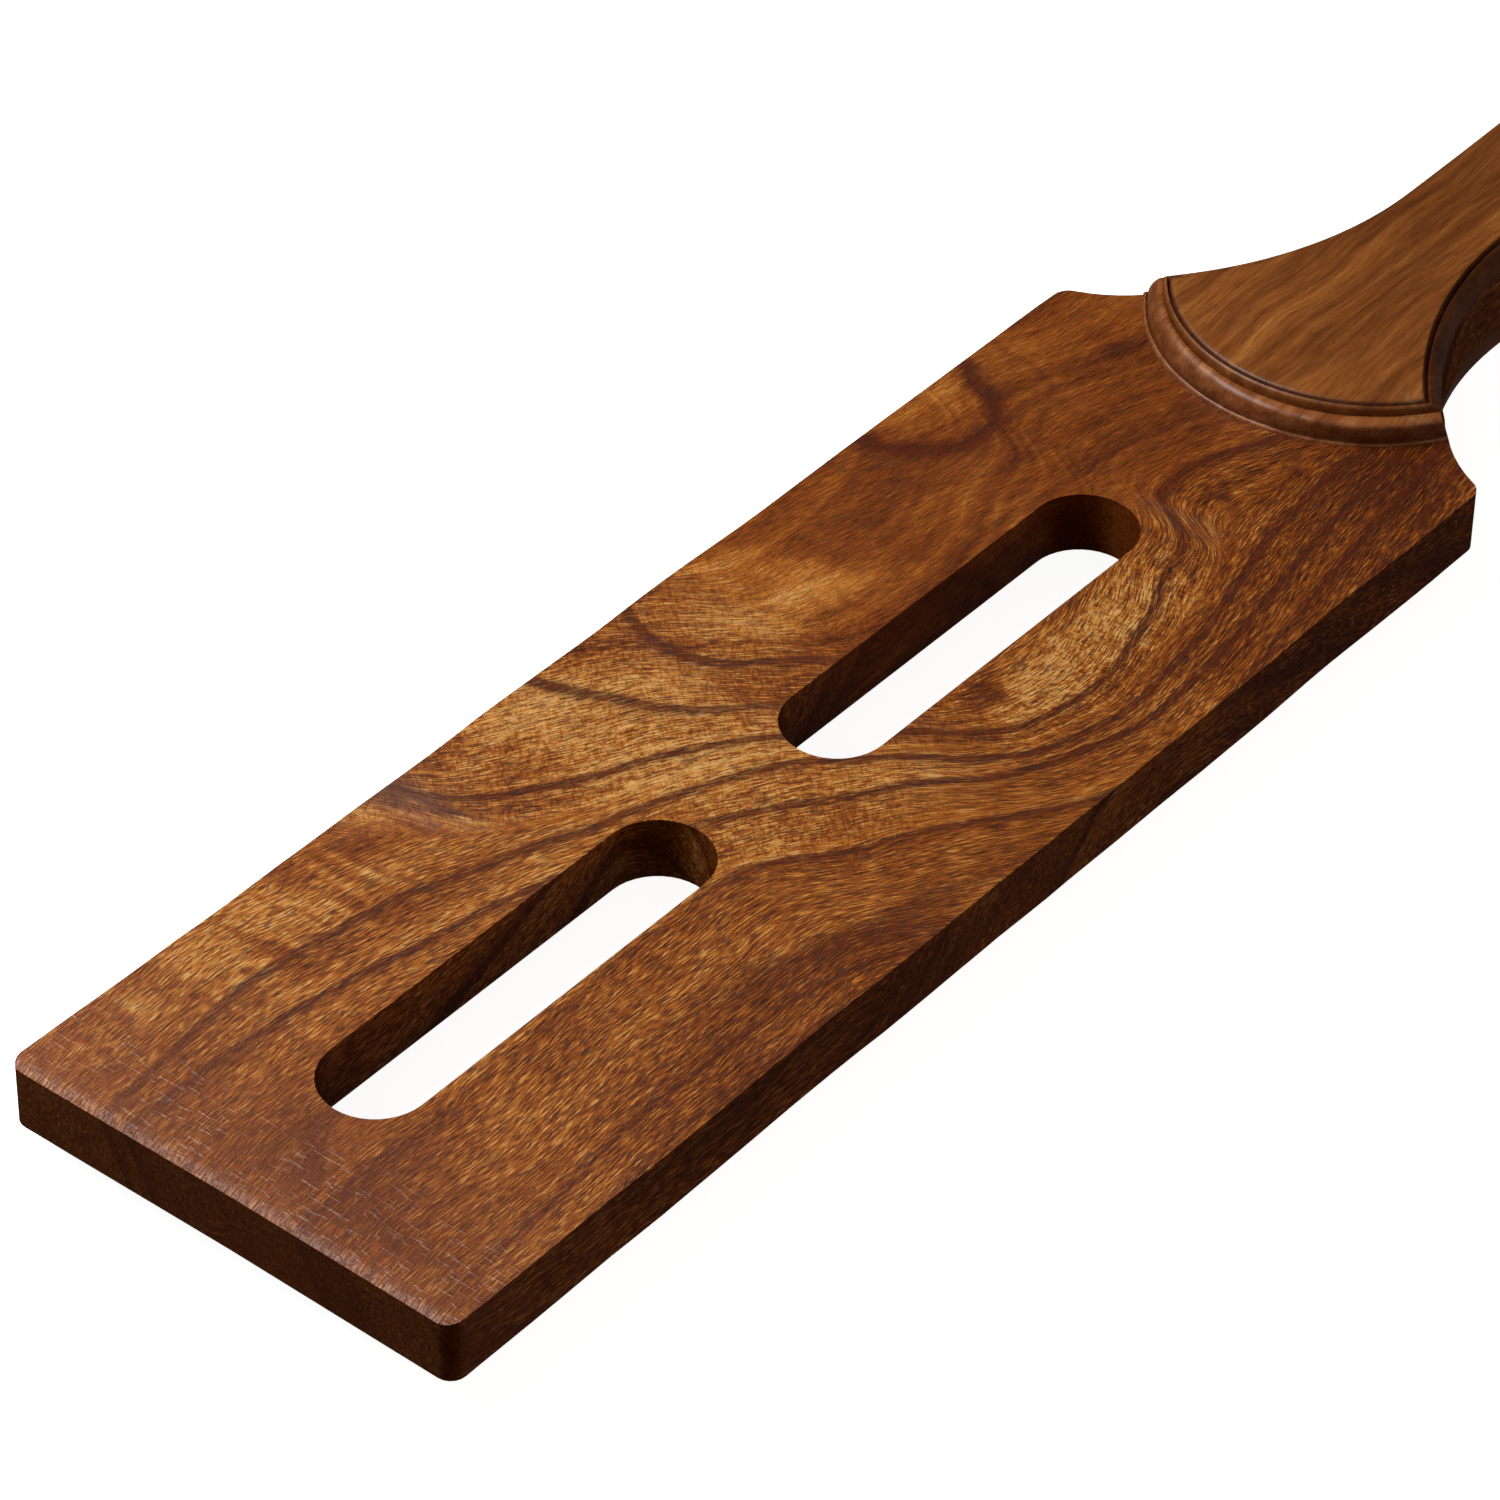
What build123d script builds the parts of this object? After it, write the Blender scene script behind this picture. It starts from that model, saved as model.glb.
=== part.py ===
from build123d import *
import math
import os

os.makedirs("parts", exist_ok=True)

# A slotted hardwood paddle. One board makes the blade and runs on as the core of the neck
# and grip. A cheek is glued on each face of that core, a half-round bead is glued round the
# front of each cheek, and four hidden dowels pin the cheeks through the core.
#
# X runs along the paddle from the blade's square end to the butt, Y is across it and Z is
# up out of the front face. The origin is the middle of the paddle's box, on its mid-plane.
# Places along the paddle are measured from the square end ("from the end") or from the
# line through the blade's two shoulder corners ("from the shoulder"). All sizes are in mm.

# ---- driving dimensions: the blade board
BLADE_LENGTH = 265.0          # square end to the shoulder corners
BLADE_WIDTH = 90.0
BOARD_THICKNESS = 12.0
BLADE_CORNER_R = 3.0          # the four corners in plan
BLADE_ARRIS_R = 1.0           # the long edges and the square end
SLOT_WIDTH = 19.0
SLOT_END_MARGIN = 24.0        # square end to the first slot
SLOT_GAP = 26.0               # wood between the two slots
SLOT_NECK_MARGIN = 43.0       # second slot to the shoulder line
SLOT_ARRIS_R = 0.5

# ---- driving dimensions: neck and grip, in plan
HANDLE_LENGTH = 175.0         # shoulder line to the butt
NECK_ROOT_RUN = 8.4           # shoulder line to where the cove meets the neck
NECK_ROOT_HALF = 32.4         # half-width of the board there
COVE_SAG = 1.0                # depth of the hollow between shoulder and neck
WAIST_RUN = 57.0              # shoulder line to the narrowest part
WAIST_LENGTH = 8.0            # straight stretch at the narrowest part
WAIST_HALF = 11.9
BUTT_HALF = 15.5
BUTT_CORNER_R = 9.0

# ---- driving dimensions: cheeks
CHEEK_THICKNESS = 6.25
FACET_APEX_SETBACK = 7.1      # front of the cheek's flat, ahead of the shoulder line
FACET_CORNER_RUN = 6.8        # corners of the flat, behind the shoulder line
FACET_CORNER_HALF = 28.1
FACET_INSET = 1.5             # how much narrower the flat is than the core, at the waist
FACET_ARRIS_R = 0.6
BUTT_SLOPE_RUN = 5.0          # the cheek's end leans back this far
PLAN_LEAD = 3.0               # the neck's curves start this far ahead of the cove's end

# ---- driving dimensions: beads
BEAD_APEX_SETBACK = 10.5      # front of the bead's foot, ahead of the shoulder line
BEAD_WIDTH = 4.0
BEAD_HEIGHT = 4.7             # crest above the blade's face

# ---- driving dimensions: dowels
DOWEL_D = 6.0
DOWEL_CHAMFER = 0.6
DOWEL_DEPTH = 3.5             # how far a dowel enters each cheek
DOWEL_END_CLEARANCE = 0.5     # glue room past each end
NECK_DOWEL_RUN = 20.0         # the side-by-side pair, behind the shoulder line
NECK_DOWEL_HALF = 10.0        # each of the pair is this far from the centre line
GRIP_DOWEL_RUN = 76.0         # behind the shoulder line
BUTT_DOWEL_SETBACK = 32.0     # ahead of the butt

# ---- sizes that follow
OVERALL_LENGTH = BLADE_LENGTH + HANDLE_LENGTH
HALF_BOARD = BOARD_THICKNESS / 2
SLOT_LENGTH = (BLADE_LENGTH - SLOT_END_MARGIN - SLOT_GAP - SLOT_NECK_MARGIN) / 2
SLOT_CENTRES = [SLOT_END_MARGIN + SLOT_LENGTH / 2 + i * (SLOT_LENGTH + SLOT_GAP)
                for i in range(2)]
NECK_ROOT_X = BLADE_LENGTH + NECK_ROOT_RUN
WAIST_X = BLADE_LENGTH + WAIST_RUN
FACET_APEX_X = BLADE_LENGTH - FACET_APEX_SETBACK
FACET_CORNER_X = BLADE_LENGTH + FACET_CORNER_RUN
FACET_WAIST_HALF = WAIST_HALF - FACET_INSET
BEAD_APEX_X = BLADE_LENGTH - BEAD_APEX_SETBACK
DOWEL_PLACES = {
    "neck_dowel_left": (BLADE_LENGTH + NECK_DOWEL_RUN, NECK_DOWEL_HALF),
    "neck_dowel_right": (BLADE_LENGTH + NECK_DOWEL_RUN, -NECK_DOWEL_HALF),
    "grip_dowel": (BLADE_LENGTH + GRIP_DOWEL_RUN, 0),
    "butt_dowel": (OVERALL_LENGTH - BUTT_DOWEL_SETBACK, 0),
}
FROM_END = Pos(-OVERALL_LENGTH / 2, 0, 0)   # places measured from the end, in the frame


def arc_radius(half_chord, sagitta):
    """Radius of the arc with this half chord and rise."""
    return (half_chord**2 + sagitta**2) / (2 * sagitta)


CORE_NECK_R = arc_radius(WAIST_X - NECK_ROOT_X, NECK_ROOT_HALF - WAIST_HALF)
FACET_NECK_R = arc_radius(WAIST_X - FACET_CORNER_X, FACET_CORNER_HALF - FACET_WAIST_HALF)
CHEEK_FRONT_R = arc_radius(FACET_CORNER_HALF, FACET_CORNER_X - FACET_APEX_X)
BEAD_FOOT_R = arc_radius(NECK_ROOT_HALF, NECK_ROOT_X - BEAD_APEX_X)


def handle_edges(start_x, neck_r, waist_half, butt_half, end_x):
    """One side of the neck and grip, drawn in the open line, from start_x to the butt."""
    rise = neck_r - math.sqrt(neck_r**2 - (WAIST_X - start_x) ** 2)
    waist_start = (WAIST_X, waist_half)
    waist_end = (WAIST_X + WAIST_LENGTH, waist_half)
    butt_corner = (end_x - BUTT_CORNER_R, butt_half)
    butt_side = (end_x, butt_half - BUTT_CORNER_R)
    TangentArc(waist_start, (start_x, waist_half + rise), tangent=(-1, 0))
    Line(waist_start, waist_end)
    flare = TangentArc(waist_end, butt_corner, tangent=(1, 0))
    RadiusArc(flare @ 1, butt_side, BUTT_CORNER_R)
    Line(butt_side, (end_x, 0))
    return (start_x, waist_half + rise)


def board_outline():
    """Plan of the board: the blade, its coved shoulders and the core of the handle."""
    shoulder = Vector(BLADE_LENGTH, BLADE_WIDTH / 2)
    root = Vector(NECK_ROOT_X, NECK_ROOT_HALF)
    along = (root - shoulder).normalized()
    cove_middle = (shoulder + root) * 0.5 + Vector(along.Y, -along.X) * COVE_SAG
    with BuildSketch() as outline:
        with BuildLine():
            Polyline((0, 0), (0, BLADE_WIDTH / 2), shoulder)
            ThreePointArc(shoulder, cove_middle, root)
            handle_edges(NECK_ROOT_X, CORE_NECK_R, WAIST_HALF, BUTT_HALF, OVERALL_LENGTH)
            mirror(about=Plane.XZ)
        make_face()
        corners = [v for v in outline.vertices() if abs(abs(v.Y) - BLADE_WIDTH / 2) < 0.01]
        fillet(corners, BLADE_CORNER_R)
    return outline.sketch


def dowel_holes(depth_each_way):
    """The four dowels' holes, through the mid-plane and this deep to each side."""
    hole = Cylinder(DOWEL_D / 2, 2 * depth_each_way)
    return Part() + [Pos(x, y, 0) * hole for x, y in DOWEL_PLACES.values()]


def blade_board():
    """Blade and handle core in one board, with two slots and the dowel holes."""
    board = extrude(board_outline(), HALF_BOARD, both=True)
    slots = [Pos(x, 0, 0) * SlotOverall(SLOT_LENGTH, SLOT_WIDTH) for x in SLOT_CENTRES]
    board -= extrude(Sketch() + slots, BOARD_THICKNESS, both=True)
    faces = board.faces().filter_by(Axis.Z)
    slot_edges = faces.edges().filter_by(
        lambda e: abs(e.center().Y) < SLOT_WIDTH and e.center().X < BLADE_LENGTH
        and e.center().X > SLOT_END_MARGIN / 2)
    board = fillet(slot_edges, SLOT_ARRIS_R)
    blade_edges = board.faces().filter_by(Axis.Z).edges().filter_by(
        lambda e: e.center().X < SLOT_END_MARGIN / 2 or abs(e.center().Y) > NECK_ROOT_HALF)
    board = fillet(blade_edges, BLADE_ARRIS_R)
    return board - dowel_holes(BOARD_THICKNESS)


def handle_plan(neck_r, waist_half, butt_half, end_x):
    """Plan of a cheek at one level, carried forward under the bead."""
    front_x = BEAD_APEX_X - BEAD_WIDTH / 2
    with BuildSketch() as plan:
        with BuildLine():
            corner = handle_edges(NECK_ROOT_X - PLAN_LEAD, neck_r, waist_half, butt_half, end_x)
            Polyline(corner, (front_x, corner[1]), (front_x, 0))
            mirror(about=Plane.XZ)
        make_face()
    return plan.sketch


def leaning_sides():
    """The handle's shape on the front face: full width at the board, narrower at the flat."""
    base = handle_plan(CORE_NECK_R, WAIST_HALF, BUTT_HALF, OVERALL_LENGTH)
    facet = handle_plan(FACET_NECK_R, FACET_WAIST_HALF, BUTT_HALF - FACET_INSET,
                        OVERALL_LENGTH - BUTT_SLOPE_RUN)
    levels = [Pos(0, 0, HALF_BOARD) * base.face(),
              Pos(0, 0, HALF_BOARD + CHEEK_THICKNESS) * facet.face()]
    return loft(levels, ruled=True)


def inside_front_arc():
    """The space behind the arc that the cheek's front follows."""
    centre_x = FACET_APEX_X + CHEEK_FRONT_R
    height = 2 * (HALF_BOARD + CHEEK_THICKNESS) + 2
    drum = Pos(centre_x, 0, 0) * Cylinder(CHEEK_FRONT_R, height)
    rear = Pos(centre_x + OVERALL_LENGTH / 2, 0, 0) * Box(OVERALL_LENGTH, BLADE_WIDTH, height)
    return drum + rear


def cheek():
    """Front cheek: flat facet, sides leaning out to the core, rounded front."""
    body = leaning_sides() & inside_front_arc()
    body -= dowel_holes(HALF_BOARD + DOWEL_DEPTH + DOWEL_END_CLEARANCE)
    return fillet(body.faces().sort_by(Axis.Z)[-1].edges(), FACET_ARRIS_R)


def bead():
    """Front bead: a half-round strip bent round the cheek's front on the blade's face."""
    crest_r = BEAD_WIDTH / 2
    outer, inner = BEAD_FOOT_R, BEAD_FOOT_R - BEAD_WIDTH
    shoulder_z = BEAD_HEIGHT - crest_r
    with BuildSketch(Plane.XZ) as section:
        with BuildLine():
            Polyline((inner, shoulder_z), (inner, 0), (outer, 0), (outer, shoulder_z))
            ThreePointArc((outer, shoulder_z), (outer - crest_r, BEAD_HEIGHT), (inner, shoulder_z))
        make_face()
    ring = revolve(section.sketch, Axis.Z, 360)
    strip = Pos(BEAD_APEX_X + BEAD_FOOT_R, 0, HALF_BOARD) * ring
    strip &= extrude(board_outline(), HALF_BOARD + CHEEK_THICKNESS)
    return (strip & leaning_sides()) - inside_front_arc()


def dowel():
    """A straight dowel through the core, with a chamfer at each end to take it home."""
    length = BOARD_THICKNESS + 2 * DOWEL_DEPTH
    pin = Cylinder(DOWEL_D / 2, length)
    return chamfer(pin.edges().filter_by(GeomType.CIRCLE), DOWEL_CHAMFER)


def back(piece):
    """The matching piece on the back face."""
    return mirror(piece, about=Plane.XY)


front_cheek = cheek()
front_bead = bead()
pieces = {
    "blade_board": blade_board(),
    "front_cheek": front_cheek,
    "back_cheek": back(front_cheek),
    "front_bead": front_bead,
    "back_bead": back(front_bead),
}
for name, (x, y) in DOWEL_PLACES.items():
    pieces[name] = Pos(x, y, 0) * dowel()

for name, piece in pieces.items():
    export_step(FROM_END * piece, f"parts/{name}.step")
print(f"overall {OVERALL_LENGTH:.1f} long, slots {SLOT_LENGTH:.1f} x {SLOT_WIDTH:.1f}")
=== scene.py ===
# %% [markdown]
# # A slotted hardwood paddle
# One sheesham board makes the blade and the core of the handle. Two cheeks thicken the
# handle, and a carved half-round bead closes the front of each cheek. Everything here is
# built around a packed CAD model, which gives the places, and is never moved.

# %% Load the frame
import math

import bmesh
import bpy
from mathutils import Matrix, Vector, noise


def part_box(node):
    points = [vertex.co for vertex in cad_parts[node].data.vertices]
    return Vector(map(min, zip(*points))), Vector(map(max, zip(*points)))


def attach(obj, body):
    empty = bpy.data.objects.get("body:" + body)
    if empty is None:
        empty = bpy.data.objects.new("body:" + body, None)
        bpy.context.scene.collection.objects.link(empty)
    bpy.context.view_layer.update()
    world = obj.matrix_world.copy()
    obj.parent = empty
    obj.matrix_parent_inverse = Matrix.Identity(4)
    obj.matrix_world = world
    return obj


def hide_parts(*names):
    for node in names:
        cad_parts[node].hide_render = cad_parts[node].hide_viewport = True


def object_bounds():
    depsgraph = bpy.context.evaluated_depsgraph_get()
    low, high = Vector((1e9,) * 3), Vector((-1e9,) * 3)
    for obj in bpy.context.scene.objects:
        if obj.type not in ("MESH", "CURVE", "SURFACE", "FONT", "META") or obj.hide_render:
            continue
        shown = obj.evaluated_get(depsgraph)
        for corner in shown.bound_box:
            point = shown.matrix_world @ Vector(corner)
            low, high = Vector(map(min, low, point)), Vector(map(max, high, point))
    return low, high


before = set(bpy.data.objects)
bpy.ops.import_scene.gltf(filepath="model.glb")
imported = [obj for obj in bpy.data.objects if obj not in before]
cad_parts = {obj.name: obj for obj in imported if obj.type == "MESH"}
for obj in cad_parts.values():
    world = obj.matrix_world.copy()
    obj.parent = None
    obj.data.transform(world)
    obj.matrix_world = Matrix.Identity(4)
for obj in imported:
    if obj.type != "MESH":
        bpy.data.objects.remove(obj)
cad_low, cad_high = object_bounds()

print("CAD box", [round(n, 4) for n in cad_low], [round(n, 4) for n in cad_high])

# %% [markdown]
# ## Places on the paddle
# A maker measures along the paddle from the square end of the blade, across it from the
# centre line, and up from the middle of the board's thickness, all in millimetres. One
# helper turns such a place into the frame's metres, so the shapes below read like a
# setting-out drawing.

# %% A place in millimetres
MM = 0.001
board_low, board_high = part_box("blade_board")
cheek_low, cheek_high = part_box("front_cheek")


def at(along, across=0.0, up=0.0):
    """A point in the frame, from millimetres along from the square end, across and up."""
    return Vector((board_low.x + along * MM, across * MM, up * MM))


LENGTH = (board_high.x - board_low.x) / MM
HALF_WIDTH = board_high.y / MM
HALF_BOARD = board_high.z / MM
CHEEK_HEIGHT = (cheek_high.z - cheek_low.z) / MM
print(f"board {LENGTH:.1f} x {2 * HALF_WIDTH:.1f} x {2 * HALF_BOARD:.1f} mm, cheek {CHEEK_HEIGHT:.2f} mm")

# %% [markdown]
# ## Camera
# The paddle is seen from beyond its square end, a little to its right and from 40 degrees
# up, with a long lens, so its sides run almost parallel. A track-to constraint would keep
# the camera upright, but this one is rolled a little, so its three directions are put into
# its matrix as columns.

# %% Camera
CAMERA_PLACE = (-0.73073, -0.51147, 0.69606)
LENS = 158.9
looks = Vector((0.59675, 0.48142, -0.64196)).normalized()
top_of_view = Vector((0.48888, 0.41628, 0.76662))

camera_data = bpy.data.cameras.new("camera")
camera_data.sensor_width = 36
camera_data.lens = LENS
camera = bpy.data.objects.new("camera", camera_data)
bpy.context.scene.collection.objects.link(camera)
rightward = looks.cross(top_of_view).normalized()
upward = rightward.cross(looks)
turn = Matrix((rightward, upward, -looks)).transposed()
camera.matrix_world = Matrix.Translation(CAMERA_PLACE) @ turn.to_4x4()
bpy.context.scene.camera = camera
print("camera at", [round(n, 3) for n in camera.location])

# %% [markdown]
# ## Setting out in plan
# The board and the cheeks are drawn as half outlines on one side of the centre line, then
# mirrored. A pen that is a single vertex can be extruded along a straight line, or spun
# about a centre for an arc, so no list of curve points has to be worked out.

# %% Pen strokes


def straight_to(bm, pen, along, across):
    """Draws a straight edge from the pen's vertex, and returns the vertex at its end."""
    drawn = bmesh.ops.extrude_vert_indiv(bm, verts=[pen])["verts"][0]
    drawn.co = at(along, across, pen.co.z / MM)
    return drawn


def arc_to(bm, pen, centre, end, steps):
    """Spins the pen's vertex about a centre, the short way, until it points at the end."""
    hub = at(*centre)
    first = (pen.co - hub).xy
    last = (at(*end) - hub).xy
    turned = bmesh.ops.spin(
        bm, geom=[pen], cent=hub, axis=(0, 0, 1), steps=steps,
        angle=-first.angle_signed(last), use_duplicate=False,
    )
    return [part for part in turned["geom_last"] if isinstance(part, bmesh.types.BMVert)][0]


def radius_of(half_chord, rise):
    """Radius of an arc with this half chord and rise."""
    return (half_chord**2 + rise**2) / (2 * rise)


print("an arc that rises 1 mm over a half chord of 10 mm has a radius of", radius_of(10, 1), "mm")

# %% One side of the handle
NECK_ROOT = (273.4, 32.4)
WAIST, WAIST_END, WAIST_HALF = 322.0, 330.0, 11.9
BUTT_R, BUTT_HALF = 9.0, 15.5


def handle_side(bm, pen, slimmer, butt_end):
    """Carries the pen from the neck's corner past the waist and round the butt to the centre line."""
    waist_half, butt_half = WAIST_HALF - slimmer, BUTT_HALF - slimmer
    corner = (pen.co - at(0)) / MM
    neck_r = radius_of(WAIST - corner.x, corner.y - waist_half)
    pen = arc_to(bm, pen, (WAIST, waist_half + neck_r), (WAIST, waist_half), 22)
    pen = straight_to(bm, pen, WAIST_END, waist_half)
    flare_end = butt_end - BUTT_R
    flare_r = radius_of(flare_end - WAIST_END, butt_half - waist_half)
    pen = arc_to(bm, pen, (WAIST_END, waist_half + flare_r), (flare_end, butt_half), 14)
    pen = arc_to(bm, pen, (flare_end, butt_half - BUTT_R), (butt_end, butt_half - BUTT_R), 9)
    return straight_to(bm, pen, butt_end, 0)


core_r = radius_of(WAIST - NECK_ROOT[0], NECK_ROOT[1] - WAIST_HALF)
print("neck radius at the core", round(core_r, 1), "mm")

# %% [markdown]
# ## From bmesh to piece
# Every piece ends the same way: its normals are made to point out, faces are shaded smooth
# with sharp edges kept where the surface really turns, and the object rides on the CAD
# body. A weighted-normal modifier keeps the big flat faces flat next to their soft edges.

# %% Turn a bmesh into a piece
SHARP_ANGLE = math.radians(38)


def make_piece(bm, name, stands_for):
    """Makes the object, shades it, hangs it on the root body and hides the CAD node that it stands for."""
    bmesh.ops.remove_doubles(bm, verts=bm.verts, dist=0.002 * MM)
    bmesh.ops.recalc_face_normals(bm, faces=bm.faces)
    for face in bm.faces:
        face.smooth = True
    for edge in bm.edges:
        edge.smooth = len(edge.link_faces) != 2 or edge.calc_face_angle(0) < SHARP_ANGLE
    mesh = bpy.data.meshes.new(name)
    bm.to_mesh(mesh)
    bm.free()
    piece = bpy.data.objects.new(name, mesh)
    bpy.context.scene.collection.objects.link(piece)
    even = piece.modifiers.new("even shading", "WEIGHTED_NORMAL")
    even.keep_sharp = True
    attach(piece, "root")
    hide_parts(stands_for)
    print(name, len(mesh.vertices), "vertices", len(mesh.polygons), "faces")
    return piece


# %% [markdown]
# ## The board
# The real one is sawn to shape, routed with two long slots and rounded over by hand. A
# boolean could cut the slots, but drawing only half of the plan turns each slot into a
# notch in the centre line, so one simple face holds the whole half. It is mirrored, given
# its thickness by an extrusion, and its edges are bevelled as the router bit left them.

# %% Half the board's plan
SHOULDER = (265.0, 45.0)
COVE_CENTRE = (292.6, 54.3)
SLOT_HALF = 9.5
SLOT_SPANS = ((136.0, 222.0), (24.0, 110.0))

board_bm = bmesh.new()
first = board_bm.verts.new(at(0, 0, -HALF_BOARD))
pen = straight_to(board_bm, first, 0, HALF_WIDTH)
pen = straight_to(board_bm, pen, *SHOULDER)
pen = arc_to(board_bm, pen, COVE_CENTRE, NECK_ROOT, 6)
pen = handle_side(board_bm, pen, 0.0, LENGTH)
for near, far in SLOT_SPANS:
    pen = straight_to(board_bm, pen, far, 0)
    pen = arc_to(board_bm, pen, (far - SLOT_HALF, 0), (far - SLOT_HALF, SLOT_HALF), 10)
    pen = straight_to(board_bm, pen, near + SLOT_HALF, SLOT_HALF)
    pen = arc_to(board_bm, pen, (near + SLOT_HALF, 0), (near, 0), 10)
board_bm.edges.new((pen, first))
bmesh.ops.edgeloop_fill(board_bm, edges=board_bm.edges)
print("half plan", len(board_bm.verts), "points")

# %% Round the corners and mirror
# along, across and how far back from the corner the round starts
CORNER_CUTS = ((0.0, HALF_WIDTH, 3.0), (*SHOULDER, 2.2))
for along, across, cut in CORNER_CUTS:
    corner = min(board_bm.verts, key=lambda v: (v.co.xy - at(along, across).xy).length)
    bmesh.ops.bevel(
        board_bm, geom=[corner], offset=cut * MM, offset_type="OFFSET", segments=5,
        profile=0.5, affect="VERTICES", material=-1,
    )
# strips across the board give its edges points to wander by, closest at the square end
STRIP = 6.0
CUTS = [0.6, 1.2, 1.9, 2.8] + [i * STRIP for i in range(1, int(LENGTH / STRIP) + 1)]
for cut in CUTS:
    everything = board_bm.verts[:] + board_bm.edges[:] + board_bm.faces[:]
    bmesh.ops.bisect_plane(board_bm, geom=everything, plane_co=at(cut), plane_no=(1, 0, 0))
everything = board_bm.verts[:] + board_bm.edges[:] + board_bm.faces[:]
bmesh.ops.mirror(board_bm, geom=everything, axis="Y", merge_dist=0.001 * MM)
bmesh.ops.remove_doubles(board_bm, verts=board_bm.verts, dist=0.01 * MM)
print("whole plan", len(board_bm.faces), "faces")

# %% [markdown]
# The long edges of a hand-finished blade are never dead straight. They wander by a few
# tenths of a millimetre, and the left corner of the square end was left a little proud.
# Slow noise moves the points of the plan before it gets its thickness, so top and bottom
# stay in line. The top edge of the square end was sanded down more than the others, so its
# points sink along a gentle curve, and only then are the edges bevelled.

# %% Let the sawn edges wander
WANDER = 0.42
SIDE_BAND, SHOULDER_START = 36.0, 262.0
PROUD_REACH, PROUD_END, PROUD_SIDE = 30.0, 0.8, 0.5
for vert in board_bm.verts:
    place = (vert.co - at(0)) / MM
    side = math.copysign(1, place.y)
    if abs(place.y) > SIDE_BAND and place.x < SHOULDER_START:
        swing = noise.noise(Vector((place.x / 34, 3.1 * side, 0)))
        swing += 0.4 * noise.noise(Vector((place.x / 13, 7.7 * side, 0)))
        vert.co.y += side * WANDER * swing * MM
    if side > 0:
        proud = max(0.0, 1 - math.hypot(place.x, place.y - HALF_WIDTH) / PROUD_REACH)
        vert.co.x -= PROUD_END * proud**2 * MM
        vert.co.y += PROUD_SIDE * proud**2 * MM
print("widest place across", round(max(v.co.y for v in board_bm.verts) / MM, 2), "mm")

# %% Thickness and the sanded end
plan_faces = board_bm.faces[:]
raised = bmesh.ops.extrude_face_region(board_bm, geom=plan_faces)["geom"]
raised = [part for part in raised if isinstance(part, bmesh.types.BMVert)]
bmesh.ops.translate(board_bm, verts=raised, vec=(0, 0, 2 * HALF_BOARD * MM))
END_SLOPE, END_DROP = 2.8, 0.5
for vert in raised:
    rolled = max(0.0, 1 - max(0.0, (vert.co - at(0)).x / MM) / END_SLOPE)
    vert.co.z -= END_DROP * rolled**2 * MM
bmesh.ops.recalc_face_normals(board_bm, faces=board_bm.faces)
print("end edge sanded down by", END_DROP, "mm over", END_SLOPE, "mm")

# %% Soft edges


def rim_edges(bm, wanted):
    """Edges where a flat face of the board meets a side, at the places that are wanted."""
    found = []
    for edge in bm.edges:
        middle = ((edge.verts[0].co + edge.verts[1].co) / 2 - at(0)) / MM
        level = abs(edge.verts[0].co.z - edge.verts[1].co.z) < 0.5 * MM
        if level and edge.calc_face_angle(0) > 1 and wanted(middle):
            found.append(edge)
    return found


# how wide a bevel, and where: round the slots, then round the blade up to the neck
END_BAND, SLOTS_END = 12.0, 240.0
SOFTENING = (
    (0.6, lambda p: abs(p.y) < SLOT_HALF + 1 and END_BAND < p.x < SLOTS_END),
    (1.15, lambda p: (p.x < END_BAND or abs(p.y) > NECK_ROOT[1]) and p.x < NECK_ROOT[0]),
)
for width, wanted in SOFTENING:
    bmesh.ops.bevel(
        board_bm, geom=rim_edges(board_bm, wanted), offset=width * MM, offset_type="OFFSET",
        segments=4, profile=0.5, affect="EDGES", clamp_overlap=True, material=-1,
    )
board = make_piece(board_bm, "slotted_board", "blade_board")
print("soft edges", [width for width, _ in SOFTENING], "mm wide")

# %% [markdown]
# ## The cheeks
# Each cheek is a flat board glued to the core, shaped together with it and then rounded
# over at the sides. A knife line was cut round the flat to set it off. The section is
# given as a ladder of levels: how far in the front and the side have come at each height.
# Each level is a half outline, and bridging one level to the next makes the wall. On the
# left side and at the butt the knife line was worn away again, so it is filled up there.

# %% Section of a cheek
# front inset, share of the side's lean, height above the board, painted shade in the cut (0 to 1)
CHEEK_LEVELS = (
    (0.0, 0.0, 0.0, 0.5),
    (0.0, 0.06, 2.0, 0.1),
    (0.0, 0.15, 3.2, 0.0),
    (0.0, 0.28, 4.2, 0.0),
    (0.0, 0.44, 4.9, 0.0),
    (0.05, 0.6, 5.4, 0.0),
    (0.3, 0.74, 5.75, 0.0),
    (0.6, 0.84, 5.85, 0.6),
    (0.9, 1.06, 5.0, 1.0),
    (1.2, 1.3, 5.85, 0.8),
    (1.6, 1.5, 6.2, 0.1),
    (2.4, 1.8, 6.25, 0.0),
)
FRONT_CENTRE, FRONT_R = 293.25, 35.35
BASE_CORNER, FACET_CORNER = 30.45, 28.1
FACET_LEAN, BUTT_LEAN = 1.5, 5.0
print("levels of a cheek:", len(CHEEK_LEVELS))

# %% One level of a cheek


def cheek_level(bm, front_inset, lean, height):
    """Half the outline of a cheek at one height, from the middle of its front to the butt."""
    base = HALF_BOARD + height
    front_r = FRONT_R - front_inset
    corner_y = BASE_CORNER + (FACET_CORNER - BASE_CORNER) * lean
    corner_x = FRONT_CENTRE - math.sqrt(front_r**2 - corner_y**2)
    pen = bm.verts.new(at(FRONT_CENTRE - front_r, 0, base))
    before = set(bm.edges)
    ends = [pen]
    pen = arc_to(bm, pen, (FRONT_CENTRE, 0), (corner_x, corner_y), 20)
    butt = LENGTH - BUTT_LEAN * (height / CHEEK_HEIGHT) ** 2 - 0.6 * lean
    ends.append(handle_side(bm, pen, FACET_LEAN * lean, butt))
    return [edge for edge in bm.edges if edge not in before], ends


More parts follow.
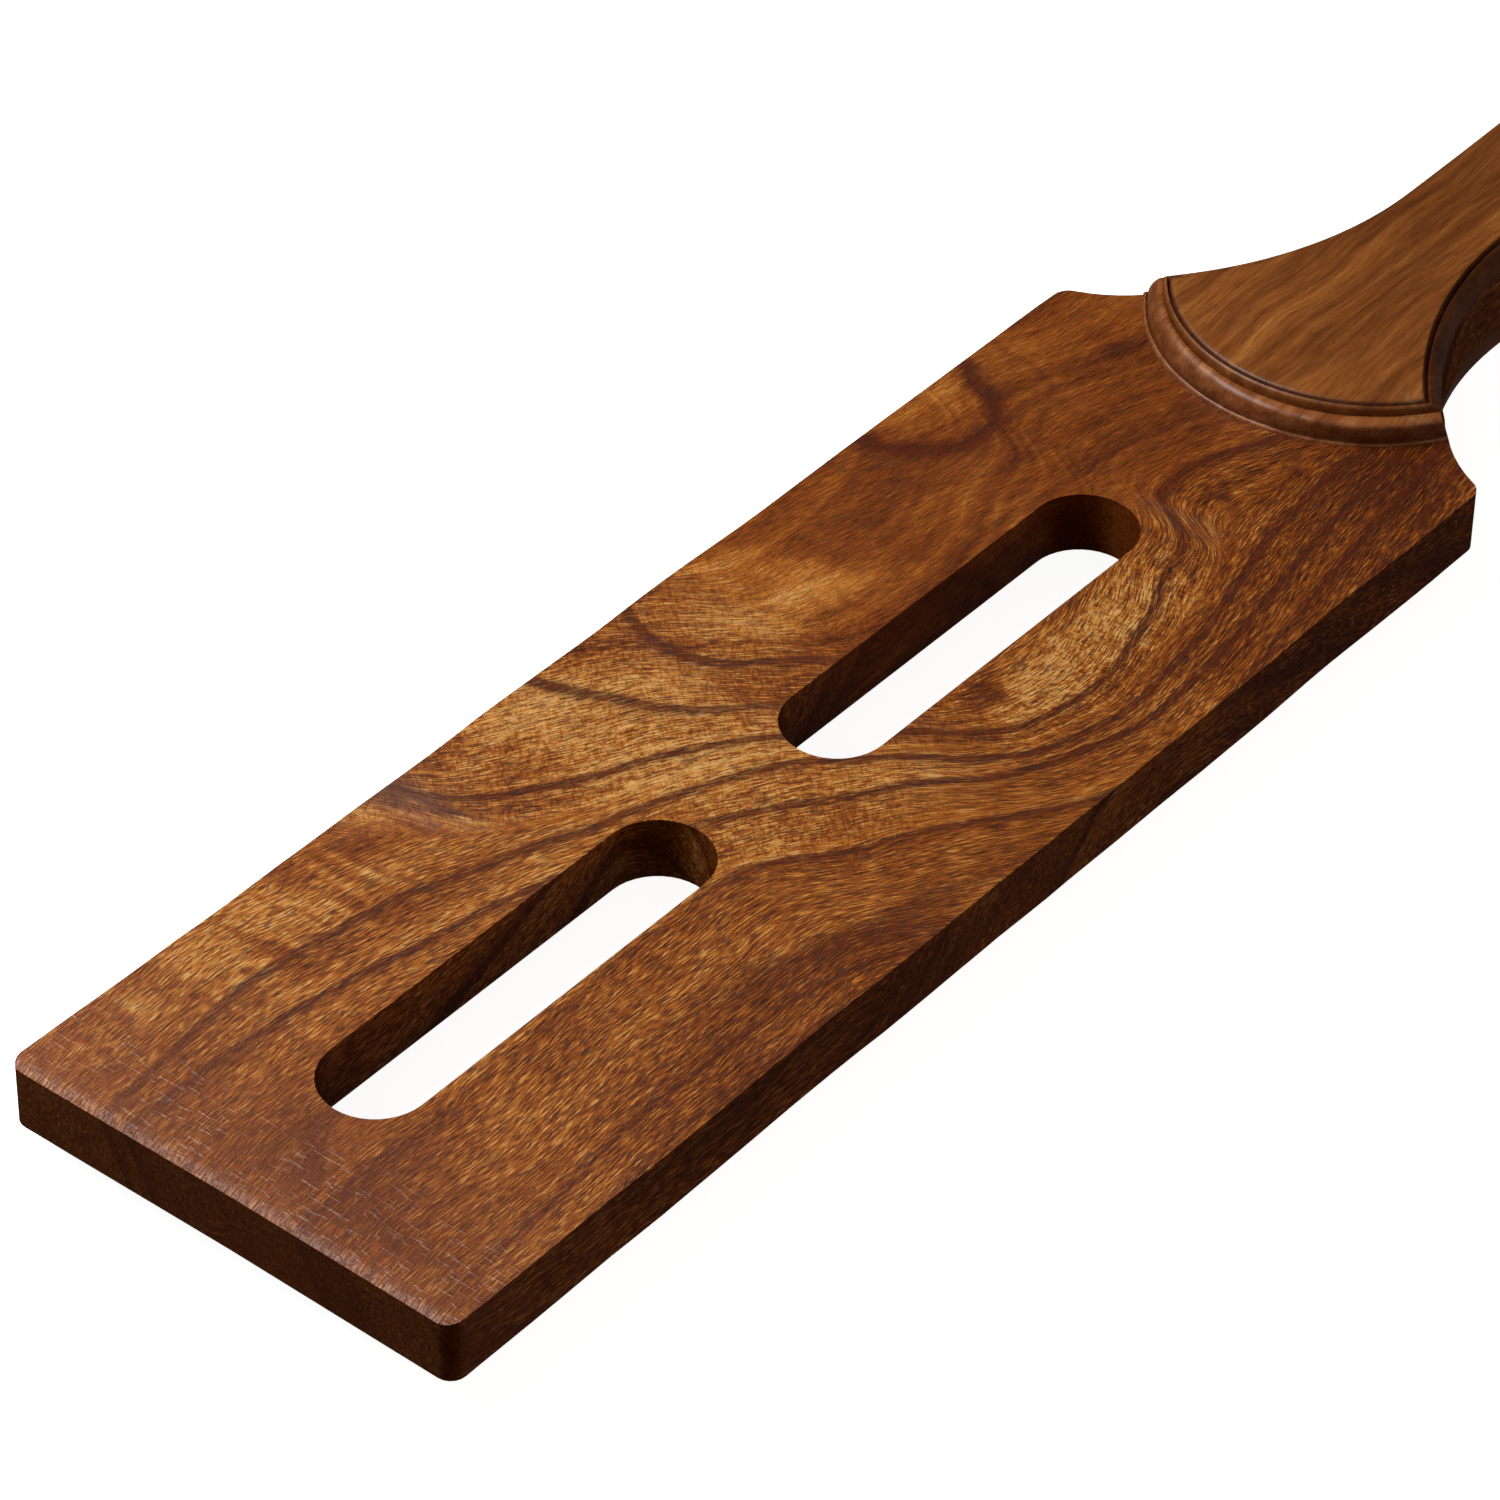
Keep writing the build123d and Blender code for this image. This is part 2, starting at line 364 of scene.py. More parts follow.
print("corner of the flat", FACET_CORNER, "mm from the centre line")

# %% The two cheeks
SMOOTH_FROM, BUTT_BAND, WORN_HEIGHT = 275.0, 30.0, 5.9


def cheek(name, stands_for, side):
    """Builds one cheek; side is 1 on the front face of the board and -1 on the back."""
    bm = bmesh.new()
    # a layer of painted shade: how dark each point is painted, darkest in the knife cut and at the foot
    groove_shade = bm.verts.layers.float.new("groove_shade")
    levels = []
    for front_inset, lean, height, shade_share in CHEEK_LEVELS:
        chain, ends = cheek_level(bm, front_inset, lean, height)
        for vert in {v for edge in chain for v in edge.verts}:
            vert[groove_shade] = shade_share
        levels.append((chain, ends))
    for (lower, _), (upper, _) in zip(levels, levels[1:]):
        bmesh.ops.bridge_loops(bm, edges=lower + upper)
    for chain, ends in (levels[0], levels[-1]):
        centre_line = bm.edges.new(ends)
        bmesh.ops.edgeloop_fill(bm, edges=chain + [centre_line])
    everything = bm.verts[:] + bm.edges[:] + bm.faces[:]
    bmesh.ops.mirror(bm, geom=everything, axis="Y", merge_dist=0.001 * MM)
    for vert in bm.verts:
        place = (vert.co - at(0)) / MM
        worn = place.y > 0 or place.x > LENGTH - BUTT_BAND
        if worn and place.x > SMOOTH_FROM and vert[groove_shade] > 0.5:
            vert[groove_shade] = 0.1
            vert.co.z = max(vert.co.z, at(0, 0, HALF_BOARD + WORN_HEIGHT).z)
    bmesh.ops.scale(bm, vec=(1, 1, side), verts=bm.verts)
    return make_piece(bm, name, stands_for)


front_cheek = cheek("cheek_front", "front_cheek", 1)
back_cheek = cheek("cheek_back", "back_cheek", -1)
print("knife line filled from", SMOOTH_FROM, "mm on the left side")

# %% [markdown]
# ## The beads
# A bead is a half-round strip that was carved where it sits, with a gouge, so its height
# and width drift along the curve. A curve object with a bevel profile would keep one section
# all the way. Here the profile is one open chain of points, spun about the centre of the
# curve. Each point carries how its place at the right end differs from the left, so the
# section can change on the way. Slow noise then moves it a little, as the carver's hand
# did, and the ends are cut off in line with the leaning sides of the neck.

# %% Section of a bead
# left out, left height, right out, right height, painted shade: out is from the inner side,
# height is above the board. A small roll runs along the foot; it is fuller towards the left.
BEAD_SECTION = (
    (4.75, -0.3, 4.35, -0.3, 0.1), (4.72, 0.3, 4.3, 0.1, 0.1), (4.5, 0.75, 4.15, 0.3, 0.0),
    (4.2, 0.9, 4.05, 0.4, 0.1), (3.95, 0.7, 4.0, 0.8, 0.7), (3.82, 1.0, 3.98, 1.4, 0.6),
    (3.72, 1.7, 3.97, 2.2, 0.1), (3.5, 2.5, 3.94, 3.0, 0.0), (3.15, 3.3, 3.85, 3.6, 0.0),
    (2.7, 3.95, 3.6, 3.95, 0.0), (2.2, 4.4, 3.1, 4.15, 0.0), (1.7, 4.62, 2.4, 4.25, 0.0),
    (1.2, 4.55, 1.6, 4.25, 0.0), (0.85, 4.2, 1.0, 4.1, 0.2), (0.5, 3.6, 0.6, 3.6, 0.9),
    (0.1, 2.9, 0.1, 2.9, 1.0), (-0.3, 2.4, -0.3, 2.4, 1.0), (-0.4, -0.3, -0.4, -0.3, 1.0),
)
BEAD_CENTRE, BEAD_INNER_R = 291.7, 33.2
BEAD_TURN, BEAD_STEPS = 66.0, 88
bead_hub = at(BEAD_CENTRE)
print("points in a bead's section:", len(BEAD_SECTION))

# %% Bend the section round the neck


def bent_strip(bm):
    """Spins the left end's section round, and carries what the right end's lacks in two layers."""
    # a layer of painted shade, darkest in the grooves beside the bead and at its foot
    groove_shade = bm.verts.layers.float.new("groove_shade")
    flat_height = bm.verts.layers.float.new("flat_height")
    flat_out = bm.verts.layers.float.new("flat_out")
    section = []
    for left_out, left_height, right_out, right_height, shade_share in BEAD_SECTION:
        vert = bm.verts.new(at(BEAD_CENTRE - BEAD_INNER_R - left_out, 0, HALF_BOARD + left_height))
        vert[groove_shade] = shade_share
        vert[flat_height] = right_height - left_height
        vert[flat_out] = right_out - left_out
        section.append(vert)
    ring = section + [bm.edges.new(pair) for pair in zip(section, section[1:])]
    start = Matrix.Rotation(math.radians(BEAD_TURN), 3, "Z")
    bmesh.ops.rotate(bm, cent=bead_hub, matrix=start, verts=section)
    bmesh.ops.spin(
        bm, geom=ring, cent=bead_hub, axis=(0, 0, 1), angle=math.radians(-2 * BEAD_TURN),
        steps=BEAD_STEPS, use_duplicate=False,
    )
    return flat_height, flat_out


print("one step turns", BEAD_TURN * 2 / BEAD_STEPS, "degrees")

# %% The gouge's uneven hand
DRIFT, CHATTER = 0.22, 0.09


def carve(bm, flat_height, flat_out, seed):
    """Blends the section from left to right, and moves it by slow drift and finer chatter."""
    for vert in bm.verts:
        outward = (vert.co - bead_hub).xy.normalized()
        bearing = math.atan2(outward.y, -outward.x)
        rightness = min(1, max(0, 0.3 - 1.2 * bearing))
        vert.co.z += vert[flat_height] * rightness * MM
        vert.co += Vector((*outward, 0)) * vert[flat_out] * rightness * MM
        height = vert.co.z / MM - HALF_BOARD
        drift = noise.noise(Vector((bearing * 5.0, seed, 0))) * DRIFT
        chatter = noise.noise(Vector((bearing * 16.0, seed, height * 0.4))) * CHATTER
        if height > 0.2:
            vert.co.z += (drift + chatter) * MM * min(1, height / 3)
            vert.co += Vector((*outward, 0)) * (chatter + 0.5 * drift) * MM


print("a bead drifts by up to", DRIFT, "mm")

# %% Cut the ends and finish the beads
END_CUT, END_FACING = (274.6, 31.2), (0.7, 0.72, 0.33)


def trim_ends(bm):
    """Cuts both ends off in line with the neck's sides, closes them and softens their rims."""
    for across in (1, -1):
        facing = Vector((END_FACING[0], END_FACING[1] * across, END_FACING[2])).normalized()
        everything = bm.verts[:] + bm.edges[:] + bm.faces[:]
        cut = bmesh.ops.bisect_plane(
            bm, geom=everything, plane_co=at(END_CUT[0], END_CUT[1] * across, HALF_BOARD),
            plane_no=facing, clear_outer=True,
        )
        rim = [part for part in cut["geom_cut"] if isinstance(part, bmesh.types.BMEdge)]
        lip = [edge for edge in rim if max(v.co.z for v in edge.verts) / MM > HALF_BOARD + 0.8]
        bmesh.ops.contextual_create(bm, geom=rim)
        bmesh.ops.bevel(
            bm, geom=lip, offset=0.7 * MM, offset_type="OFFSET", segments=3, profile=0.5,
            affect="EDGES", clamp_overlap=True, material=-1,
        )
    open_edges = [edge for edge in bm.edges if len(edge.link_faces) == 1]
    bmesh.ops.holes_fill(bm, edges=open_edges, sides=0)


def bead(name, stands_for, side, seed):
    """Builds one carved bead; side is 1 on the front face of the board and -1 on the back."""
    bm = bmesh.new()
    flat_height, flat_out = bent_strip(bm)
    carve(bm, flat_height, flat_out, seed)
    trim_ends(bm)
    bmesh.ops.scale(bm, vec=(1, 1, side), verts=bm.verts)
    return make_piece(bm, name, stands_for)


front_bead = bead("bead_front", "front_bead", 1, 4.0)
back_bead = bead("bead_back", "back_bead", -1, 9.0)
print("beads end", END_CUT[1], "mm from the centre line")

# %% [markdown]
# ## One helper for nodes
# Every finish below is a small tree of nodes. One function adds a node, applies its
# settings, and fills or links its sockets. A list of points can shape a curve or a
# colour ramp on the way. Colours are written as sRGB hex, and turned to the linear values
# that the shader needs. Two things that every oiled piece needs are small groups of nodes:
# places in millimetres, so that patterns get real sizes, and how thirsty a face is for oil,
# with painted shade added on the sides.

# %% Colours


def linear(hex_colour):
    """An sRGB colour such as "8a5a32" as a linear RGBA tuple."""
    parts = [int(hex_colour[i:i + 2], 16) / 255 for i in (0, 2, 4)]
    return (*(c / 12.92 if c <= 0.04045 else ((c + 0.055) / 1.055) ** 2.4 for c in parts), 1.0)


def grey(level):
    """A neutral linear value, for ramps that carry an amount instead of a colour."""
    return (level, level, level, 1.0)


print("oil brown is", [round(c, 3) for c in linear("8a5a32")])

# %% Add a node


def add(tree, kind, inputs=None, out=0, points=None, stops=None, **settings):
    """Adds a shader node with its settings and links, and returns one of its outputs."""
    made = tree.nodes.new("ShaderNode" + kind)
    for name, value in settings.items():
        setattr(made, name, value)
    for socket, value in (inputs or {}).items():
        if isinstance(value, bpy.types.NodeSocket):
            tree.links.new(value, made.inputs[socket])
        else:
            made.inputs[socket].default_value = value
    if points:
        line = made.mapping.curves[0]
        line.points[0].location, line.points[1].location = points[0], points[-1]
        for place in points[1:-1]:
            line.points.new(*place)
        made.mapping.update()
    if stops:
        ramp = made.color_ramp
        ramp.elements[0].position, ramp.elements[1].position = stops[0][0], stops[-1][0]
        ramp.elements[0].color, ramp.elements[-1].color = stops[0][1], stops[-1][1]
        for position, colour in stops[1:-1]:
            ramp.elements.new(position).color = colour
    return made.outputs[out]


print(add.__doc__)

# %% Start a finish


def finish_for(name, roughness, gloss):
    """A new material with its shader, ready for the nodes of one finish."""
    finish = bpy.data.materials.new(name)
    finish.use_nodes = True
    shader = finish.node_tree.nodes["Principled BSDF"]
    shader.inputs["Roughness"].default_value = roughness
    shader.inputs["IOR"].default_value = 1.5
    shader.inputs["Specular IOR Level"].default_value = gloss
    return finish, finish.node_tree, shader


def in_millimetres(tree, shift=(0, 0, 0)):
    """Object coordinates in millimetres, so that a noise scale reads as cells per millimetre."""
    shape = add(tree, "TexCoord", out=3)
    return add(tree, "VectorMath", {0: shape, 1: (1000, 1000, 1000), 2: shift}, operation="MULTIPLY_ADD")


def oil_thirst_and_side_shade(tree, lean, gain):
    """How much more oil a face drinks than the flat ones do, told by the way that it faces, with painted
    shade added on the sides.
    """
    facing = add(tree, "TexCoord", out=1)
    facing = add(tree, "VectorMath", {0: facing}, operation="ABSOLUTE")
    thirst_and_side_shade = add(tree, "VectorMath", {0: facing, 1: lean}, out=1, operation="DOT_PRODUCT")
    thirst_and_side_shade = add(tree, "Math", {0: thirst_and_side_shade, 1: thirst_and_side_shade}, operation="MULTIPLY")
    return add(tree, "Math", {0: thirst_and_side_shade, 1: gain}, operation="MULTIPLY")


print("a metre is", round(1 / MM), "mm in every finish")

# %% [markdown]
# ## Oiled sheesham: where the growth lines run
# Sheesham is a dense rosewood with purple-brown growth lines, short dark pores and, where
# the grain turns round a branch, pale figure with a ladder of cross flecks. A ready-made
# wave texture would give even stripes. This board has a story instead: its growth lines
# swing from the left edge between the slots to the right edge, round the base of a branch.
# Five of them are drawn as curves, and everything else in the finish follows them.
# The place in the wood comes from object coordinates, shifted to start at the square end.
# Slow noise bends it, as a trunk is never straight, and a finer one frays it by a quarter
# of a millimetre. The rings lean through the thickness, so the sides show them too.

# %% Wood place
board_finish, wood, wood_shader = finish_for("oiled sheesham board", 0.36, 0.36)
WOOD_TILT_X, WOOD_TILT_Y = 0.3, 0.5
millimetres = in_millimetres(wood, (LENGTH / 2, 0, 0))
drift = add(wood, "TexNoise", {"Vector": millimetres, "Scale": 0.035, "Detail": 1.0}, out=1)
drift = add(wood, "VectorMath", {0: drift, 1: (4, 4, 0), 2: (-2, -2, 0)}, operation="MULTIPLY_ADD")
fray_lie = add(wood, "VectorMath", {0: millimetres, 1: (0.35, 0.8, 0.8)}, operation="MULTIPLY")
fray = add(wood, "TexNoise", {"Vector": fray_lie, "Scale": 1.0, "Detail": 3.0, "Roughness": 0.65}, out=1)
fray = add(wood, "VectorMath", {0: fray, 1: (0.5, 0.5, 0), 2: (-0.25, -0.25, 0)},
           operation="MULTIPLY_ADD")
wandering = add(wood, "VectorMath", {0: millimetres, 1: drift}, operation="ADD")
wandering = add(wood, "VectorMath", {0: wandering, 1: fray}, operation="ADD")
along = add(wood, "VectorMath", {0: wandering, 1: (1, 0, -WOOD_TILT_X)}, out=1, operation="DOT_PRODUCT")
along = add(wood, "Math", {0: along, 1: HALF_BOARD * WOOD_TILT_X}, operation="ADD")
across = add(wood, "VectorMath", {0: wandering, 1: (0, 1, -WOOD_TILT_Y)}, out=1, operation="DOT_PRODUCT")
across = add(wood, "Math", {0: across, 1: HALF_BOARD * WOOD_TILT_Y}, operation="ADD")
depth = add(wood, "SeparateXYZ", {0: wandering}, out=2)
print("the rings lean", WOOD_TILT_Y, "mm across for each mm of depth")

# %% Growth lines, drawn as curves
# along from the square end and across from the centre line, in millimetres
GROWTH_LINES = {
    -1: ((0, -33), (30, -31), (60, -29), (80, -29), (97, -31.5), (108, -36), (118, -44), (126, -51),
         (145, -58), (189, -53), (225, -46), (261, -40), (300, -37)),
    0: ((0, -13), (50, -12), (90, -10.5), (104, -11.7), (122, -21.6), (140, -33.3), (153, -41.4),
        (160, -45), (172, -47.5), (189, -46), (207, -43), (225, -39.5), (261, -34.5), (300, -32)),
    1: ((0, 21), (30, 20.4), (46, 18.4), (60, 15.3), (73, 13.4), (85.5, 9.9), (99, 5.4), (110, 0.4),
        (125, -8.6), (134, -15.6), (144, -22.5), (153, -29.7), (164, -34.9), (175, -38.3),
        (189, -39), (207, -36.6), (225, -33.3), (261, -28.8), (300, -27)),
    2: ((0, 25.6), (18, 27.5), (40, 29), (54, 27.6), (67.5, 24.7), (81, 20.5), (96, 15), (111, 8.8),
        (130, -0.6), (141, -10.8), (148.5, -18.9), (155, -25.7), (162, -30.6), (175, -34.4),
        (189, -34.6), (217, -28.6), (230, -25.2), (245, -23.4), (261, -22.5), (300, -21)),
    3: ((0, 117), (54, 94), (79, 63), (86, 44.4), (91, 34.2), (97, 28.4), (106, 22.9), (126, 11.9),
        (135, 5.4), (144, -4.5), (153, -13.5), (159, -20.7), (166, -25), (180, -26.8), (199, -23.6),
        (209, -18.6), (220, -15.1), (224, -9.9), (228, -4), (235, -3.1), (245, -5.6), (261, -11.7),
        (300, -15)),
}
LINE_REACH, LINE_FLOOR, LINE_SPAN = 300.0, -60.0, 200.0
chart = add(wood, "Math", {0: along, 1: LINE_REACH}, operation="DIVIDE")


def drawn_line(tree, reading, drawn):
    """The height of a hand-drawn line, in millimetres, at a reading of the chart."""
    points = [(x / LINE_REACH, (y - LINE_FLOOR) / LINE_SPAN) for x, y in drawn]
    height = add(tree, "FloatCurve", {1: reading}, points=points)
    return add(tree, "Math", {0: height, 1: LINE_SPAN, 2: LINE_FLOOR}, operation="MULTIPLY_ADD")


line = {number: drawn_line(wood, chart, drawn) for number, drawn in GROWTH_LINES.items()}
print("growth lines:", sorted(line))

# %% [markdown]
# Counting the rings from line to line gives one number that is whole on every growth line
# and in between has the ring's own growth. Past the last lines the count goes on, 7 mm a
# ring below them and about 20 mm a ring above.

# %% Ring count
RING_BELOW, RING_ABOVE = 7.0, 20.0
below_first = add(wood, "Math", {0: line[-1], 1: RING_BELOW}, operation="SUBTRACT")
above_first = add(wood, "Math", {0: line[3], 1: RING_ABOVE}, operation="ADD")
under = add(wood, "MapRange", {0: across, 1: below_first, 2: line[-1], 3: -1.0, 4: 0.0}, clamp=False)
under = add(wood, "Math", {0: under, 1: 0.0}, operation="MINIMUM")
over = add(wood, "MapRange", {0: across, 1: line[3], 2: above_first, 3: 0.0, 4: 1.0}, clamp=False)
over = add(wood, "Math", {0: over, 1: 0.0}, operation="MAXIMUM")
rings = add(wood, "Math", {0: under, 1: over}, operation="ADD")
rings = add(wood, "Math", {0: rings, 1: -1.0}, operation="ADD")
for number in (-1, 0, 1, 2):
    share = add(wood, "MapRange", {0: across, 1: line[number], 2: line[number + 1]})
    rings = add(wood, "Math", {0: rings, 1: share}, operation="ADD")
print("rings past the drawn lines:", RING_BELOW, "and", RING_ABOVE, "mm")

# %% [markdown]
# Each growth line is a thin dark seam, sharp on its upper side and fading away below. The
# distance to a line is measured in millimetres, so a seam is about 1 mm wide wherever it
# runs. Where a line runs steeply its distance is scaled by the slope, read from the curve
# a little further on. Two short seams at the top are steeper still, so they are drawn the
# other way round, as a place along for each place across. A seam is not painted in one
# stroke: slow noise thins it here and there, and later the finest fibres break it up.

# %% How dark a seam is
SEAM = (
    (0.0, grey(0)), (0.16, grey(0)), (0.32, grey(0.14)), (0.4, grey(0.42)), (0.435, grey(1)),
    (0.55, grey(1)), (0.59, grey(0.2)), (0.65, grey(0)),
)
SEAM_REACH = 5.0


def seam_from(tree, away, depth):
    """How dark a seam is at a distance from its line."""
    away = add(tree, "MapRange", {0: away, 1: -SEAM_REACH, 2: SEAM_REACH})
    dark = add(tree, "ValToRGB", {0: away}, stops=SEAM)
    return add(tree, "Math", {0: dark, 1: depth}, operation="MULTIPLY")


print("core of a seam", round(2 * SEAM_REACH * (0.55 - 0.435), 2), "mm")

# %% Seams on the growth lines
# number: how dark, and from where along the board to where it comes in
SEAM_DEPTH = {
    -1: (0.75, 55, 95), 0: (0.9, 92, 108), 1: (1.0, -40, -20), 2: (1.0, -40, -20), 3: (1.0, -40, -20),
}
ahead = add(wood, "Math", {0: chart, 1: 2.0 / LINE_REACH}, operation="ADD")
seam_parts = []
for number, height in line.items():
    away = add(wood, "Math", {0: across, 1: height}, operation="SUBTRACT")
    if number > 0:
        rise = add(wood, "Math", {0: drawn_line(wood, ahead, GROWTH_LINES[number]), 1: height},
                   operation="SUBTRACT")
        rise = add(wood, "Math", {0: rise, 1: 0.5}, operation="MULTIPLY")
        rise = add(wood, "Math", {0: rise, 1: rise, 2: 1.0}, operation="MULTIPLY_ADD")
        slope_fix = add(wood, "Math", {0: rise}, operation="INVERSE_SQRT")
        away = add(wood, "Math", {0: away, 1: slope_fix}, operation="MULTIPLY")
    dark, begins, full = SEAM_DEPTH[number]
    visible = add(wood, "MapRange", {0: along, 1: float(begins), 2: float(full)})
    seam_parts.append(add(wood, "Math", {0: seam_from(wood, away, dark), 1: visible}, operation="MULTIPLY"))
print("seams on growth lines:", len(seam_parts))

# %% Short seams
# the upper one is along and across; the steep ones are across and along, from the right side
UPPER_SEAM = ((0, 11), (190, 10.5), (205, 11.4), (218, 10.4), (235, 8.9), (246, 5.9), (300, 0))
STEEP_SEAMS = (
    ((-60, 190), (-4, 149), (3, 144), (10.3, 142), (15.3, 136.4), (23.4, 129.4), (32.4, 125.4),
     (44.4, 121.4), (60, 118)),
    ((-60, 175), (5, 160), (12, 156), (17.4, 151), (22.4, 146), (30.4, 142.3), (38.4, 142), (44, 145),
     (60, 154)),
)
STEEP_FLOOR, STEEP_SPAN = -60, 120
UPPER_DEPTH, STEEP_DEPTH, STEEP_WIDTH = 0.6, 1.0, 1 / 0.6
away = add(wood, "Math", {0: across, 1: drawn_line(wood, chart, UPPER_SEAM)}, operation="SUBTRACT")
upper_seam = seam_from(wood, away, UPPER_DEPTH)
visible = add(wood, "MapRange", {0: along, 1: 170.0, 2: 205.0})
seam_parts.append(add(wood, "Math", {0: upper_seam, 1: visible}, operation="MULTIPLY"))
crosswise = add(wood, "MapRange", {0: across, 1: STEEP_FLOOR, 2: STEEP_FLOOR + STEEP_SPAN})
for drawn in STEEP_SEAMS:
    points = [((y - STEEP_FLOOR) / STEEP_SPAN, x / LINE_REACH) for y, x in drawn]
    height = add(wood, "FloatCurve", {1: crosswise}, points=points)
    height = add(wood, "Math", {0: height, 1: LINE_REACH}, operation="MULTIPLY")
    away = add(wood, "Math", {0: along, 1: height}, operation="SUBTRACT")
    away = add(wood, "Math", {0: away, 1: STEEP_WIDTH}, operation="DIVIDE")
    steep_seam = seam_from(wood, away, STEEP_DEPTH)
    visible = add(wood, "MapRange", {0: across, 1: 4.0, 2: 12.0})
    seam_parts.append(add(wood, "Math", {0: steep_seam, 1: visible}, operation="MULTIPLY"))
print("with the short ones:", len(seam_parts))

# %% Seams below the last line, and all of them in one
LOWER_DEPTH = 0.6
nearest = add(wood, "Math", {0: under}, operation="ROUND")
beyond = add(wood, "Math", {0: nearest, 1: -0.5}, operation="LESS_THAN")
away = add(wood, "Math", {0: under, 1: nearest}, operation="SUBTRACT")
away = add(wood, "Math", {0: away, 1: RING_BELOW}, operation="MULTIPLY")
lower_seams = seam_from(wood, away, LOWER_DEPTH)
seam_parts.append(add(wood, "Math", {0: lower_seams, 1: beyond}, operation="MULTIPLY"))
seam = seam_parts[0]
for part in seam_parts[1:]:
    seam = add(wood, "Math", {0: seam, 1: part}, operation="MAXIMUM")
breaks = add(wood, "TexNoise", {"Vector": millimetres, "Scale": 0.06, "Detail": 3.0})
breaks = add(wood, "MapRange", {0: breaks, 1: 0.32, 2: 0.58, 3: 0.8, 4: 1.0})
seam = add(wood, "Math", {0: seam, 1: breaks}, operation="MULTIPLY")
print("seams:", len(seam_parts))

# %% [markdown]
# Fibres run beside the growth lines. Four sets of them are measured from different lines,
# and soft weights say which set a place takes: level ones low on the board, a set beside
# the middle lines, one beside the steep line, and level ones again over the second slot.
# The noise is long along the grain and short across it: streaks 3 mm wide and many times as
# long, fine fibres, and pores of about 0.3 by 1.8 mm, which is what sheesham shows to the
# naked eye. Each lie below holds the cells of noise in a millimetre along, across and deep.

# %% Fibres and pores
halfway = add(wood, "Math", {0: line[1], 1: line[2]}, operation="ADD")
halfway = add(wood, "Math", {0: halfway, 1: -0.5, 2: across}, operation="MULTIPLY_ADD")
beside_low = add(wood, "Math", {0: across, 1: line[0]}, operation="SUBTRACT")
beside_high = add(wood, "Math", {0: across, 1: line[3]}, operation="SUBTRACT")
level_set = add(wood, "Math", {0: along, 1: 0.16, 2: across}, operation="MULTIPLY_ADD")
low_weight = add(wood, "MapRange", {0: rings, 1: 0.0, 2: 0.4}, interpolation_type="SMOOTHSTEP")
high_weight = add(wood, "MapRange", {0: rings, 1: 2.15, 2: 2.55}, interpolation_type="SMOOTHSTEP")
past_branch = add(wood, "MapRange", {0: along, 1: 150.0, 2: 182.0}, interpolation_type="SMOOTHSTEP")
above_slot = add(wood, "MapRange", {0: across, 1: -9.0, 2: 6.0}, interpolation_type="SMOOTHSTEP")
level_weight = add(wood, "Math", {0: past_branch, 1: above_slot}, operation="MULTIPLY")
STREAK_LIE, FINE_LIE, PORE_LIE = (0.022, 0.30, 0.14), (0.3, 3.4, 1.5), (0.55, 3.2, 1.6)
SETS = ((beside_low, None), (halfway, low_weight), (beside_high, high_weight), (level_set, level_weight))
fibres = pores = fine = None
for beside, weight in SETS:
    lie = add(wood, "CombineXYZ", {0: along, 1: beside, 2: depth})
    streak_lie = add(wood, "VectorMath", {0: lie, 1: STREAK_LIE}, operation="MULTIPLY")
    streaks = add(wood, "TexNoise", {"Vector": streak_lie, "Scale": 1.0, "Detail": 3.0,
                                     "Roughness": 0.6, "Distortion": 0.2})
    fine_lie = add(wood, "VectorMath", {0: lie, 1: FINE_LIE}, operation="MULTIPLY")
    fine_set = add(wood, "TexNoise", {"Vector": fine_lie, "Scale": 1.0, "Detail": 2.0, "Roughness": 0.55})
    pore_lie = add(wood, "VectorMath", {0: lie, 1: PORE_LIE}, operation="MULTIPLY")
    pore_set = add(wood, "TexNoise", {"Vector": pore_lie, "Scale": 1.0, "Detail": 1.0})
    if weight is None:
        fibres, fine, pores = streaks, fine_set, pore_set
    else:
        fibres = add(wood, "Mix", {0: weight, 2: fibres, 3: streaks})
        fine = add(wood, "Mix", {0: weight, 2: fine, 3: fine_set})
        pores = add(wood, "Mix", {0: weight, 2: pores, 3: pore_set})
pores = add(wood, "MapRange", {0: pores, 1: 0.53, 2: 0.64})
dashes = add(wood, "MapRange", {0: fine, 1: 0.36, 2: 0.62, 3: 1.15, 4: 0.75})
seam = add(wood, "Math", {0: seam, 1: dashes}, operation="MULTIPLY")
print("pores are about", [round(1 / cells, 1) for cells in PORE_LIE], "mm along, across and deep")

# %% [markdown]
# The branch left its own marks: a dark wedge where the steep line leaves the board, a pale
# fan beside it, a smooth cloudy field over the second slot with an eye at the edge, and
# small knots. Each is a soft oval patch, placed and turned one by one. Patches read the same
# wandering coordinates as the lines, so their rims are as ragged as the grain.

# %% Patches of figure
field = add(wood, "CombineXYZ", {0: along, 1: across})
cloud = add(wood, "TexNoise", {"Vector": field, "Scale": 0.09, "Detail": 3.0}, out=1)
cloud = add(wood, "VectorMath", {0: cloud, 1: (14, 14, 0), 2: (-7, -7, 0)}, operation="MULTIPLY_ADD")
ragged_field = add(wood, "VectorMath", {0: field, 1: cloud}, operation="ADD")


def patch(tree, vector, place, size, turned=0.0, soft=0.55):
    """How far inside a soft oval a place is: 1 in its middle, 0 outside it."""
    oval = add(tree, "Mapping", {
        0: vector, "Location": (*place, 0), "Rotation": (0, 0, math.radians(turned)),
        "Scale": (*size, 1000)}, vector_type="TEXTURE")
    reach = add(tree, "VectorMath", {0: oval}, out=1, operation="LENGTH")
    return add(tree, "MapRange", {0: reach, 1: 1 - soft, 2: 1 + soft, 3: 1.0, 4: 0.0},
               interpolation_type="SMOOTHSTEP")


